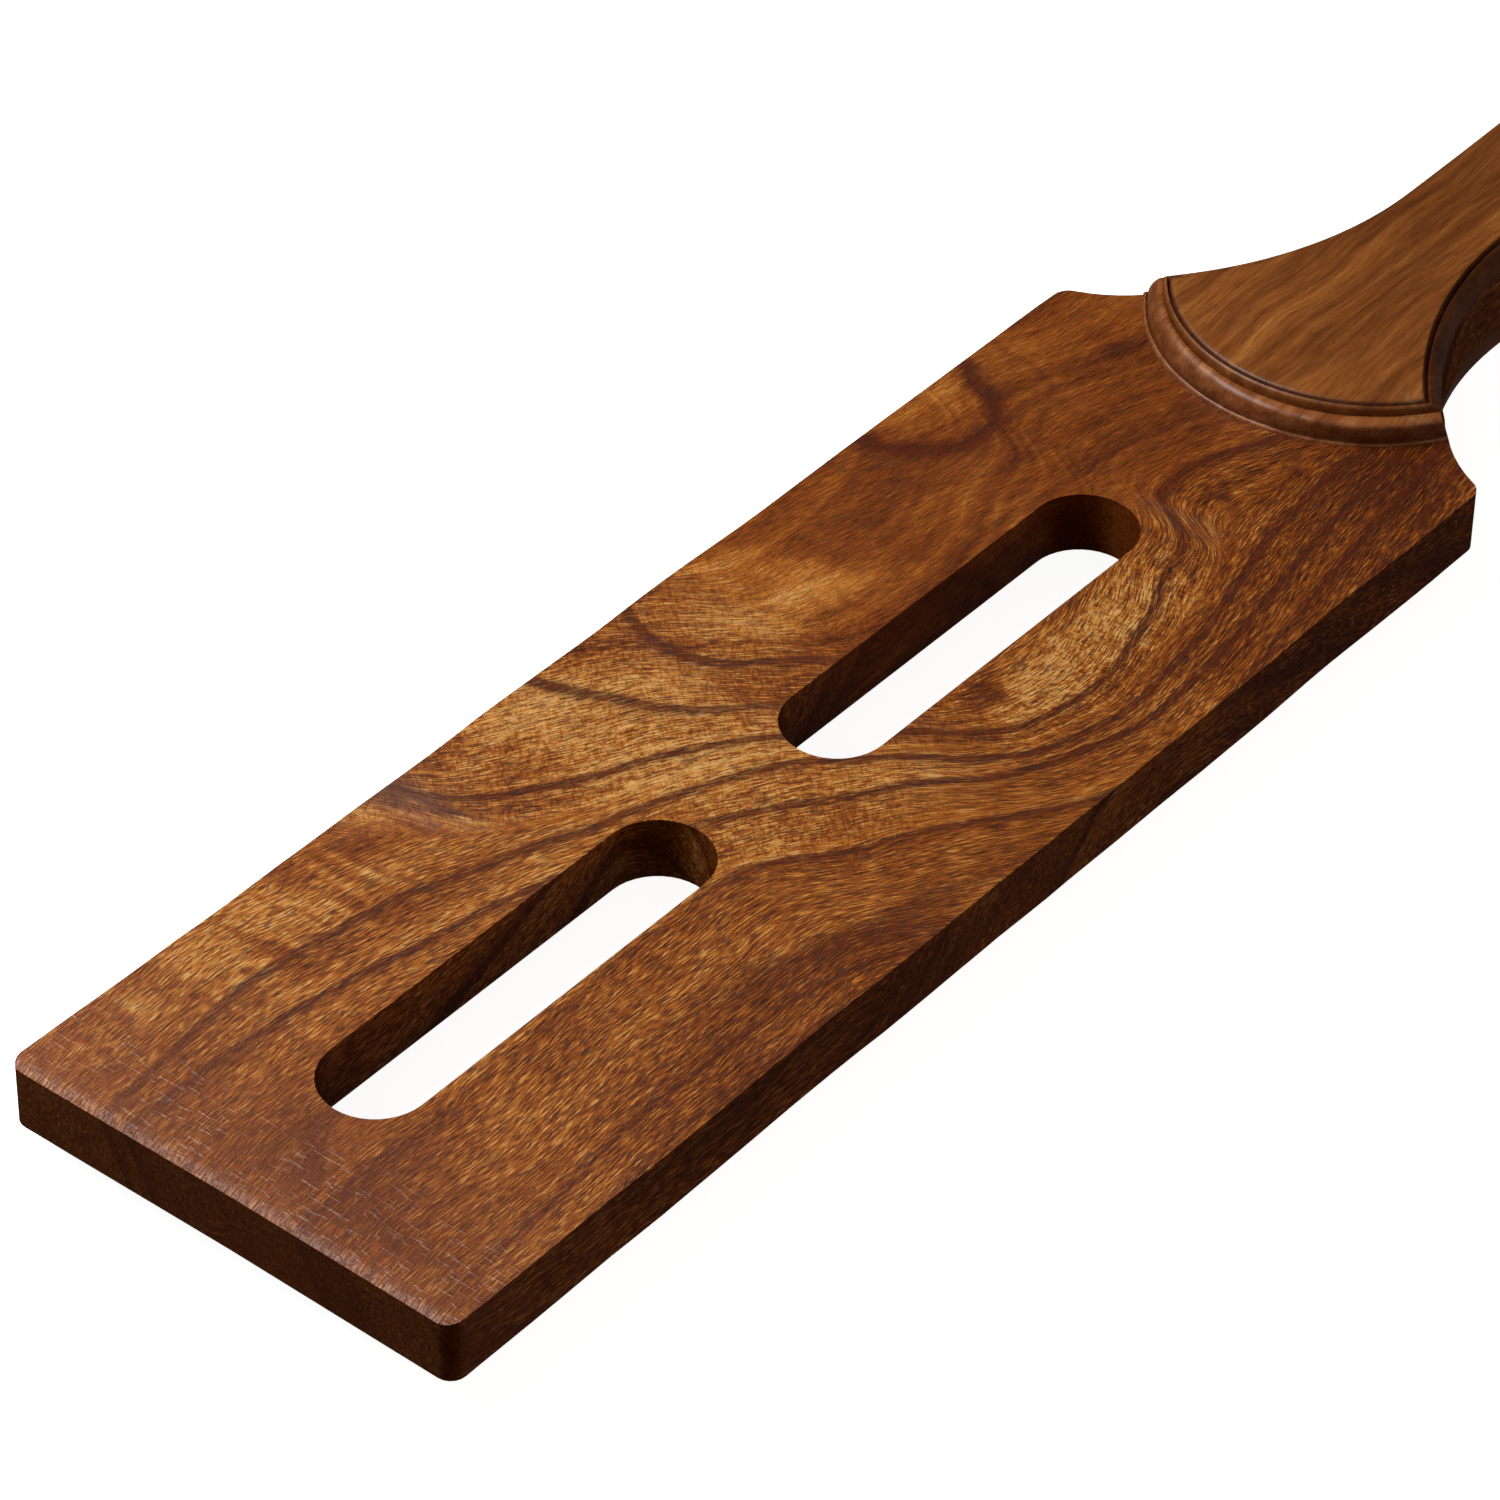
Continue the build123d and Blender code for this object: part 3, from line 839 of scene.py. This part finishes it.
# place and half sizes in millimetres, turn in degrees, how much lighter (+) or darker (-)
FIGURE = (
    ((48, 38), (42, 12), 0, 0.05), ((122, 27), (15, 26), 25, 0.36), ((124, -6), (28, 14), -40, 0.20),
    ((160, 32), (13, 16), 0, 0.22), ((200, 26), (32, 15), 0, -0.12), ((168, 12), (14, 5), -10, -0.06),
    ((188, -20), (24, 8), 8, 0.32), ((166, -15), (6, 4), 30, -0.18), ((245, 8), (22, 22), 0, -0.14),
    ((235, -36), (40, 12), 4, -0.16), ((262, 20), (22, 26), 0, -0.04), ((14, -14), (18, 16), 30, -0.2),
    ((60, -22), (48, 8), 0, 0.02), ((86, -39), (40, 7), -6, -0.14), ((250, -8), (12, 5), -10, 0.10),
    ((265, -25), (18, 20), 0, -0.20), ((90, 22), (18, 8), -15, 0.10), ((60, 15), (34, 5), -6, 0.10),
    ((173, 24), (10, 4), -28, 0.2), ((222, 44), (9, 7), 0, 0.12), ((8, 20), (12, 30), 0, -0.04),
)
light = None
for place, size, turned, amount in FIGURE:
    spot = add(wood, "Math", {0: patch(wood, ragged_field, place, size, turned), 1: amount},
               operation="MULTIPLY")
    light = spot if light is None else add(wood, "Math", {0: light, 1: spot}, operation="ADD")
print("patches:", len(FIGURE))

# %% Wedge, eye and knots
# place and half sizes in millimetres, turn in degrees, how dark
KNOTS = (
    ((86, 41), (2.6, 10), 14, 0.85), ((167, 16.5), (4.5, 2.2), 0, 0.5), ((257, 28), (2.2, 1.6), 0, 0.9),
    ((213, 37), (2.4, 1.6), 0, 0.4), ((167, -16), (3.0, 2.0), 20, 0.7), ((10, -28), (2.6, 11), -8, 0.6),
    ((16, -5), (10, 2.0), 25, 0.75), ((234, -14), (1.6, 5), -20, 0.5), ((106, -36.5), (34, 2.8), -14, 0.6),
    ((76, -28), (14, 1.4), -8, 0.5), ((8, 14), (8, 1.2), -15, 0.4),
)
for place, size, turned, amount in KNOTS:
    spot = add(wood, "Math", {0: patch(wood, ragged_field, place, size, turned, 0.8), 1: amount},
               operation="MULTIPLY")
    seam = add(wood, "Math", {0: seam, 1: spot}, operation="MAXIMUM")
EYE_RINGS = (
    (0.0, grey(0.3)), (0.12, grey(0)), (0.44, grey(0.1)), (0.53, grey(1)), (0.6, grey(0.9)),
    (0.68, grey(0.3)), (0.86, grey(0.1)), (0.93, grey(0.4)), (1.0, grey(0)),
)
EYE_PLACE, EYE_SIZE = (221, 46, 0), (26, 27, 1000)
calm_cloud = add(wood, "VectorMath", {0: cloud, "Scale": 0.6}, operation="SCALE")
calm_field = add(wood, "VectorMath", {0: field, 1: calm_cloud}, operation="ADD")
eye = add(wood, "Mapping", {0: calm_field, "Location": EYE_PLACE, "Scale": EYE_SIZE},
          vector_type="TEXTURE")
eye = add(wood, "VectorMath", {0: eye}, out=1, operation="LENGTH")
eye = add(wood, "ValToRGB", {0: eye}, stops=EYE_RINGS)
seam = add(wood, "Math", {0: seam, 1: eye}, operation="MAXIMUM")
print("knots:", len(KNOTS))

# %% [markdown]
# Pale figured wood shows two more things. Where the fibres dip in and out of the surface,
# light bars stand across the grain about 4 mm apart. Where the rays are cut, short dark
# flecks lie across the grain, under 1 mm apart, like the rungs of a ladder.

# %% Curl
CURL_LIE = (0.26, 0.035, 0)
curl_zone = patch(wood, field, (46, 37), (44, 13), 0, 0.5)
curl_lie = add(wood, "VectorMath", {0: field, 1: CURL_LIE}, operation="MULTIPLY")
curl = add(wood, "TexNoise", {"Vector": curl_lie, "Scale": 1.0, "Detail": 1.0, "Distortion": 0.3})
curl = add(wood, "MapRange", {0: curl, 1: 0.38, 2: 0.62, 3: -0.08, 4: 0.16})
curl = add(wood, "Math", {0: curl, 1: curl_zone}, operation="MULTIPLY")
print("curls are about", round(1 / CURL_LIE[0], 1), "mm apart")

# %% Ladder flecks
fleck_zone = add(wood, "MapRange", {0: rings, 1: 2.15, 2: 2.6}, interpolation_type="SMOOTHSTEP")
ragged_along = add(wood, "SeparateXYZ", {0: ragged_field}, out=0)
fleck_reach = add(wood, "MapRange", {0: ragged_along, 1: 148.0, 2: 176.0, 3: 1.0, 4: 0.1})
fleck_zone = add(wood, "Math", {0: fleck_zone, 1: fleck_reach}, operation="MULTIPLY")
fan_zone = patch(wood, field, (188, -22), (34, 9), 8, 0.5)
bridge_zone = patch(wood, field, (122, -6), (26, 16), -40, 0.5)
fleck_zone = add(wood, "Math", {0: fleck_zone, 1: bridge_zone}, operation="MAXIMUM")
FLECK_LIE = (1.5, 0.55, 1.0)
LADDERS = ((-42, fleck_zone), (12, fan_zone))
flecks = None
for lean, zone in LADDERS:
    turned_field = add(wood, "Mapping", {0: field, "Rotation": (0, 0, math.radians(lean))},
                       vector_type="TEXTURE")
    fleck_lie = add(wood, "VectorMath", {0: turned_field, 1: FLECK_LIE}, operation="MULTIPLY")
    rungs = add(wood, "TexNoise", {"Vector": fleck_lie, "Scale": 1.0, "Detail": 1.0, "Distortion": 0.9})
    rungs = add(wood, "MapRange", {0: rungs, 1: 0.47, 2: 0.58, 3: 0.06, 4: -0.17})
    rungs = add(wood, "Math", {0: rungs, 1: zone}, operation="MULTIPLY")
    flecks = rungs if flecks is None else add(wood, "Math", {0: flecks, 1: rungs}, operation="ADD")
print("flecks are about", round(1 / FLECK_LIE[0], 1), "mm apart")

# %% [markdown]
# The colour is built like the wood: a tone from 0, dark, to 1, pale, that adds up fibres,
# clouds, figure and flecks, turned to browns by one ramp. The layers are then laid over it
# one after the other, each with its own share: stained seams, pores, the darkest pores inside
# a seam, the redder wood at the square end, a pale painted glint on the grazes, and oil with
# painted shade. The end grain drinks more oil, so it is darker, and the sawn sides are darkened
# as painted shade. The normal in object space tells them apart in every view.

# %% Browns of the board
growth = add(wood, "Math", {0: rings}, operation="FRACT")
growth = add(wood, "Math", {0: growth, 1: -0.12, 2: 0.06}, operation="MULTIPLY_ADD")
mottle = add(wood, "TexNoise", {"Vector": field, "Scale": 0.06, "Detail": 2.0, "Roughness": 0.5})
ring_chart = add(wood, "Math", {0: rings, 1: 5.5}, operation="MULTIPLY")
thin_rings = add(wood, "TexNoise", {"W": ring_chart, "Scale": 1.0, "Detail": 2.0}, noise_dimensions="1D")
calm = add(wood, "Math", {0: level_weight, 1: -1.2, 2: 2.3}, operation="MULTIPLY_ADD")
fine_part = add(wood, "Math", {0: fine, 1: 0.5}, operation="SUBTRACT")
fine_part = add(wood, "Math", {0: fine_part, 1: calm}, operation="MULTIPLY")
FIBRE_SHARE, MOTTLE_SHARE, THIN_RING_SHARE = 0.42, 0.40, 0.45
tone = add(wood, "Math", {0: fibres, 1: FIBRE_SHARE, 2: -0.145}, operation="MULTIPLY_ADD")
tone = add(wood, "Math", {0: tone, 1: fine_part}, operation="ADD")
tone = add(wood, "Math", {0: mottle, 1: MOTTLE_SHARE, 2: tone}, operation="MULTIPLY_ADD")
tone = add(wood, "Math", {0: thin_rings, 1: THIN_RING_SHARE, 2: tone}, operation="MULTIPLY_ADD")
for part in (growth, light, curl, flecks):
    tone = add(wood, "Math", {0: tone, 1: part}, operation="ADD")
BROWNS = (
    (0.0, linear("431906")), (0.22, linear("6a300a")), (0.42, linear("8c4612")), (0.58, linear("a65b1b")),
    (0.75, linear("c1772d")), (0.9, linear("d69549")), (1.0, linear("e4ae67")),
)
brown = add(wood, "ValToRGB", {0: tone}, stops=BROWNS)
print("tones:", len(BROWNS))

# %% Stained seams and pores
SEAM_SHARE = 0.95
dark_seams = add(wood, "Math", {0: seam, 1: SEAM_SHARE}, operation="MULTIPLY")
pore_share = add(wood, "Math", {0: level_weight, 1: -0.4, 2: 0.74}, operation="MULTIPLY_ADD")
pore_stain = add(wood, "Math", {0: pores, 1: pore_share}, operation="MULTIPLY")
dark_pores = add(wood, "Math", {0: seam, 1: pores}, operation="MULTIPLY")
dark_pores = add(wood, "Math", {0: dark_pores, 1: 0.7}, operation="MULTIPLY")
print("seams are stained", SEAM_SHARE, "of the way")

# %% Red end, grazed surface with a painted glint, and oiled end grain with painted side shade
red_end = add(wood, "MapRange", {0: along, 1: 2.0, 2: 42.0, 3: 0.4, 4: 0.0})
graze_lie = add(wood, "VectorMath", {0: millimetres, 1: (1.0, 0.22, 0.5)}, operation="MULTIPLY")
grazes = add(wood, "TexNoise", {"Vector": graze_lie, "Scale": 1.0, "Detail": 2.0})
grazes = add(wood, "MapRange", {0: grazes, 1: 0.56, 2: 0.7})
near_end = add(wood, "MapRange", {0: along, 1: 12.0, 2: 24.0, 3: 1.0, 4: 0.0})
scuffed = add(wood, "TexNoise", {"Vector": millimetres, "Scale": 0.07, "Detail": 1.0})
scuffed = add(wood, "MapRange", {0: scuffed, 1: 0.42, 2: 0.6, 3: 0.25, 4: 1.0})
near_end = add(wood, "Math", {0: near_end, 1: scuffed}, operation="MULTIPLY")
grazes = add(wood, "Math", {0: grazes, 1: near_end}, operation="MULTIPLY")
# a pale painted glint on the grazes, standing for the highlights on their ridges
painted_glint = add(wood, "Math", {0: grazes, 1: 0.07}, operation="MULTIPLY")
# the end's share is end grain drinking more oil; the sides' share darkens them as painted shade
END_THIRST, SIDE_SHADE_AND_THIRST, THIRST_AND_SHADE_GAIN = 0.5, 0.42, 2.0
thirst_and_side_shade = oil_thirst_and_side_shade(wood, (END_THIRST, SIDE_SHADE_AND_THIRST, 0), THIRST_AND_SHADE_GAIN)
# stains, and with them the painted glint and the painted side shade
STAINS_AND_PAINTED_LIGHT = (
    (dark_seams, "5b230b"), (pore_stain, "4f270c"), (dark_pores, "2e130a"), (red_end, "8a4a2a"),
    (painted_glint, "dcb296"), (thirst_and_side_shade, "4a1c06"),
)
for share, colour in STAINS_AND_PAINTED_LIGHT:
    brown = add(wood, "Mix", {0: share, 6: brown, 7: linear(colour)}, out=2, data_type="RGBA")
wood.links.new(brown, wood_shader.inputs["Base Color"])
print("end grain keeps", 1 - THIRST_AND_SHADE_GAIN * END_THIRST**2, "of the colour of the face")

# %% [markdown]
# The oil was rubbed in and left a satin skin. Pores stay open and dull, so roughness rises
# in them, and the bump lets them sink by less than a tenth of a millimetre. Thirsty faces
# are duller too. The grazes at the end are left by the saw, and stand across the grain.

# %% Satin and bump
satin = add(wood, "Math", {0: pores, 1: 0.16, 2: 0.30}, operation="MULTIPLY_ADD")
satin = add(wood, "Math", {0: mottle, 1: 0.12, 2: satin}, operation="MULTIPLY_ADD")
satin = add(wood, "Math", {0: thirst_and_side_shade, 1: 0.3, 2: satin}, operation="MULTIPLY_ADD")
wood.links.new(satin, wood_shader.inputs["Roughness"])
sheen_left = add(wood, "Math", {0: thirst_and_side_shade, 1: -0.5, 2: 0.38}, operation="MULTIPLY_ADD")
wood.links.new(sheen_left, wood_shader.inputs["Specular IOR Level"])
relief = add(wood, "Math", {0: pores, 1: -0.7}, operation="MULTIPLY")
relief = add(wood, "Math", {0: fine, 1: 0.9, 2: relief}, operation="MULTIPLY_ADD")
relief = add(wood, "Math", {0: grazes, 1: 1.6, 2: relief}, operation="MULTIPLY_ADD")
bump = add(wood, "Bump", {"Height": relief, "Strength": 0.42, "Distance": 0.0002})
wood.links.new(bump, wood_shader.inputs["Normal"])
board.data.materials.append(board_finish)
print("board finish:", len(wood.nodes), "nodes")

# %% [markdown]
# ## Oiled sheesham: the cheeks
# The cheeks come from a calmer board: broad soft streaks of orange-brown run along the
# handle, with a few darker ones. The same kind of noise is used, stretched along the
# handle. Painted shade darkens the knife cut round the flat and the grooves of the beads;
# it is painted by the attribute that the levels of the section carried into the mesh. A
# pinch of pale sanding dust was left where the right end of the bead meets the neck. The
# beads get the same finish in redder browns, because their fibres were cut across.

# %% Browns of the handle
CHEEK_BROWNS = (
    (0.0, linear("52240a")), (0.3, linear("733c14")), (0.5, linear("8a4d1d")), (0.68, linear("9f5e27")),
    (0.85, linear("b17133")), (1.0, linear("c28645")),
)
BEAD_BROWNS = (
    (0.0, linear("582a10")), (0.3, linear("7e441d")), (0.5, linear("96562b")), (0.7, linear("ab6a3a")),
    (1.0, linear("c28450")),
)
print("tones:", len(CHEEK_BROWNS), "and", len(BEAD_BROWNS))

# %% A finish for the handle


def handle_finish(name, browns, streak, groove_shade_colour, roughness, dust_share):
    """Oiled wood with streaks along the handle, and painted shade where the attribute says so."""
    finish, tree, shader = finish_for(name, roughness, 0.36)
    here = in_millimetres(tree)
    sway = add(tree, "TexNoise", {"Vector": here, "Scale": 0.03, "Detail": 1.0}, out=1)
    sway = add(tree, "VectorMath", {0: sway, 1: (0, 9, 4), 2: (0, -4.5, -2)}, operation="MULTIPLY_ADD")
    here = add(tree, "VectorMath", {0: here, 1: sway}, operation="ADD")
    lie = add(tree, "VectorMath", {0: here, 1: streak}, operation="MULTIPLY")
    broad = add(tree, "TexNoise", {"Vector": lie, "Scale": 1.0, "Detail": 6.0, "Roughness": 0.58,
                                   "Distortion": 0.3})
    lie = add(tree, "VectorMath", {0: here, 1: (0.35, 2.4, 1.4)}, operation="MULTIPLY")
    pore = add(tree, "TexNoise", {"Vector": lie, "Scale": 1.0, "Detail": 1.5})
    pore = add(tree, "MapRange", {0: pore, 1: 0.56, 2: 0.74})
    lie = add(tree, "VectorMath", {0: here, 1: (0.16, 1.5, 0.8)}, operation="MULTIPLY")
    thread = add(tree, "TexNoise", {"Vector": lie, "Scale": 1.0, "Detail": 3.0, "Roughness": 0.6})
    level = add(tree, "Math", {0: broad, 1: 1.6, 2: -0.6}, operation="MULTIPLY_ADD")
    level = add(tree, "Math", {0: thread, 1: 0.7, 2: level}, operation="MULTIPLY_ADD")
    colour = add(tree, "ValToRGB", {0: level}, stops=browns)
    speck = add(tree, "Math", {0: pore, 1: 0.35}, operation="MULTIPLY")
    # painted shade in the knife cut and the bead's grooves, read from the mesh layer
    groove_shade = add(tree, "Attribute", out=2, attribute_name="groove_shade")
    patchy = add(tree, "TexNoise", {"Vector": here, "Scale": 0.7, "Detail": 3.0})
    patchy = add(tree, "MapRange", {0: patchy, 1: 0.3, 2: 0.6, 3: 0.6, 4: 1.0})
    groove_shade = add(tree, "Math", {0: groove_shade, 1: patchy}, operation="MULTIPLY")
    dust = patch(tree, here, (50.5, -27), (4.5, 2.6), 50, 0.7)
    grain = add(tree, "TexNoise", {"Vector": here, "Scale": 0.9, "Detail": 4.0, "Roughness": 0.7})
    grain = add(tree, "MapRange", {0: grain, 1: 0.46, 2: 0.62, 3: 0.0, 4: dust_share})
    dust = add(tree, "Math", {0: dust, 1: grain}, operation="MULTIPLY")
    # darker end grain from more oil, and painted shade on the sides
    thirst_and_side_shade = oil_thirst_and_side_shade(tree, (0.5, 0.4, 0), 1.5)
    stains_and_shade = ((speck, "4a240e"), (groove_shade, groove_shade_colour), (dust, "a07c58"), (thirst_and_side_shade, "4c1e08"))
    for share, overlay_colour in stains_and_shade:
        colour = add(tree, "Mix", {0: share, 6: colour, 7: linear(overlay_colour)}, out=2, data_type="RGBA")
    tree.links.new(colour, shader.inputs["Base Color"])
    relief = add(tree, "Math", {0: pore, 1: -0.7, 2: broad}, operation="MULTIPLY_ADD")
    bump = add(tree, "Bump", {"Height": relief, "Strength": 0.35, "Distance": 0.00012})
    tree.links.new(bump, shader.inputs["Normal"])
    print(name, len(tree.nodes), "nodes")
    return finish


print(handle_finish.__doc__)

# %% Finish the cheeks and the beads
# the two darkest colours passed here are painted shade for the grooves
cheek_finish = handle_finish(
    "oiled sheesham cheek", CHEEK_BROWNS, (0.014, 0.22, 0.12), "2c1206", 0.4, 0.5)
bead_finish = handle_finish(
    "oiled sheesham bead", BEAD_BROWNS, (0.05, 0.3, 0.3), "2a1107", 0.36, 0.6)
for piece in (front_cheek, back_cheek):
    piece.data.materials.append(cheek_finish)
for piece in (front_bead, back_bead):
    piece.data.materials.append(bead_finish)
print("finished:", front_cheek.name, back_cheek.name, front_bead.name, back_bead.name)

# %% [markdown]
# ## Beech dowels
# The four dowels are hidden in the handle. Their CAD bodies have the right shape, so they
# stay and only get a finish: pale pinkish beech with its short rays as fine flecks.

# %% Dowel finish
dowel_finish, beech, beech_shader = finish_for("planed beech dowel", 0.6, 0.3)
lie = add(beech, "VectorMath", {0: in_millimetres(beech), 1: (2.4, 2.4, 0.5)}, operation="MULTIPLY")
ray = add(beech, "TexNoise", {"Vector": lie, "Scale": 1.0, "Detail": 2.0})
BEECH = ((0.3, linear("a9805a")), (0.5, linear("c9a27a")), (0.7, linear("d8b68f")))
ray_colour = add(beech, "ValToRGB", {0: ray}, stops=BEECH)
beech.links.new(ray_colour, beech_shader.inputs["Base Color"])
ray_bump = add(beech, "Bump", {"Height": ray, "Strength": 0.2, "Distance": 0.0001})
beech.links.new(ray_bump, beech_shader.inputs["Normal"])
DOWELS = ("neck_dowel_left", "neck_dowel_right", "grip_dowel", "butt_dowel")
for name in DOWELS:
    for material_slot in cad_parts[name].material_slots:
        material_slot.material = dowel_finish
print("dowels:", len(DOWELS))

# %% [markdown]
# ## Studio
# The floor is a plain near-white sweep that glows a little, so it stays pale under the
# paddle without throwing light up at its sides. Four soft lamps do the rest. The key hangs
# behind and above the blade, so the flat faces are bright and the sides that face the
# camera fall dark, as oiled wood does against a white ground. A narrow one beside it puts a
# sheen on the edges that lean towards it. A weak fill keeps the end grain readable, and a
# warm bounce from the right lifts the long side as a wooden table top would.

# %% White sweep
sweep_finish, _, sweep_shader = finish_for("white paper sweep", 0.9, 0.0)
sweep_shader.inputs["Base Color"].default_value = (0.9, 0.9, 0.9, 1)
sweep_shader.inputs["Emission Color"].default_value = (1, 1, 1, 1)
sweep_shader.inputs["Emission Strength"].default_value = 0.93

FLOOR_REACH = 9.0
floor_bm = bmesh.new()
bmesh.ops.create_circle(floor_bm, cap_ends=True, segments=96, radius=FLOOR_REACH)
rim = [edge for edge in floor_bm.edges if len(edge.link_faces) == 1]
wall = bmesh.ops.extrude_edge_only(floor_bm, edges=rim)["geom"]
wall = [part for part in wall if isinstance(part, bmesh.types.BMVert)]
bmesh.ops.translate(floor_bm, verts=wall, vec=(0, 0, 6.0))
bmesh.ops.translate(floor_bm, verts=floor_bm.verts, vec=(0, 0, cad_low.z - 0.2 * MM))
floor_mesh = bpy.data.meshes.new("floor")
floor_bm.to_mesh(floor_mesh)
floor_bm.free()
floor = bpy.data.objects.new("floor", floor_mesh)
floor.data.materials.append(sweep_finish)
bpy.context.scene.collection.objects.link(floor)
floor.visible_diffuse = False
floor.visible_glossy = False
print("floor at", round(floor_mesh.vertices[0].co.z, 4))

# %% Lamps


def soft_lamp(name, place, target, size, power, warmth=(1, 1, 1)):
    """A rectangular soft box at a place, turned to face a target."""
    lamp = bpy.data.lights.new(name, "AREA")
    lamp.shape = "RECTANGLE"
    lamp.size, lamp.size_y = size
    lamp.energy = power
    lamp.color = warmth
    lamp_object = bpy.data.objects.new(name, lamp)
    facing = (Vector(target) - Vector(place)).to_track_quat("-Z", "Y")
    lamp_object.matrix_world = Matrix.Translation(place) @ facing.to_matrix().to_4x4()
    bpy.context.scene.collection.objects.link(lamp_object)
    return lamp_object


# place, what it faces, size of its window in metres, watts and colour
key = soft_lamp("key_softbox", (-0.30, 0.42, 0.68), (-0.10, 0.0, 0.0), (0.5, 0.4), 6.4)
sheen = soft_lamp("sheen_softbox", (0.10, 0.46, 0.70), (-0.2, 0.0, 0.0), (0.16, 0.4), 0.45, (1, 0.88, 0.78))
fill = soft_lamp("fill_softbox", (-1.1, -0.6, 0.7), (0.0, 0.0, 0.0), (0.8, 0.8), 0.8)
bounce = soft_lamp("warm_bounce", (0.2, -1.3, 0.45), (0.0, 0.0, 0.0), (1.0, 0.6), 2.2, (1, 0.74, 0.5))
world = bpy.data.worlds.new("studio")
world.use_nodes = True
world.node_tree.nodes["Background"].inputs["Color"].default_value = (1, 1, 1, 1)
world.node_tree.nodes["Background"].inputs["Strength"].default_value = 0.05
bpy.context.scene.world = world
bpy.context.scene.view_settings.view_transform = "Standard"
print("lamps", key.name, sheen.name, fill.name, bounce.name)
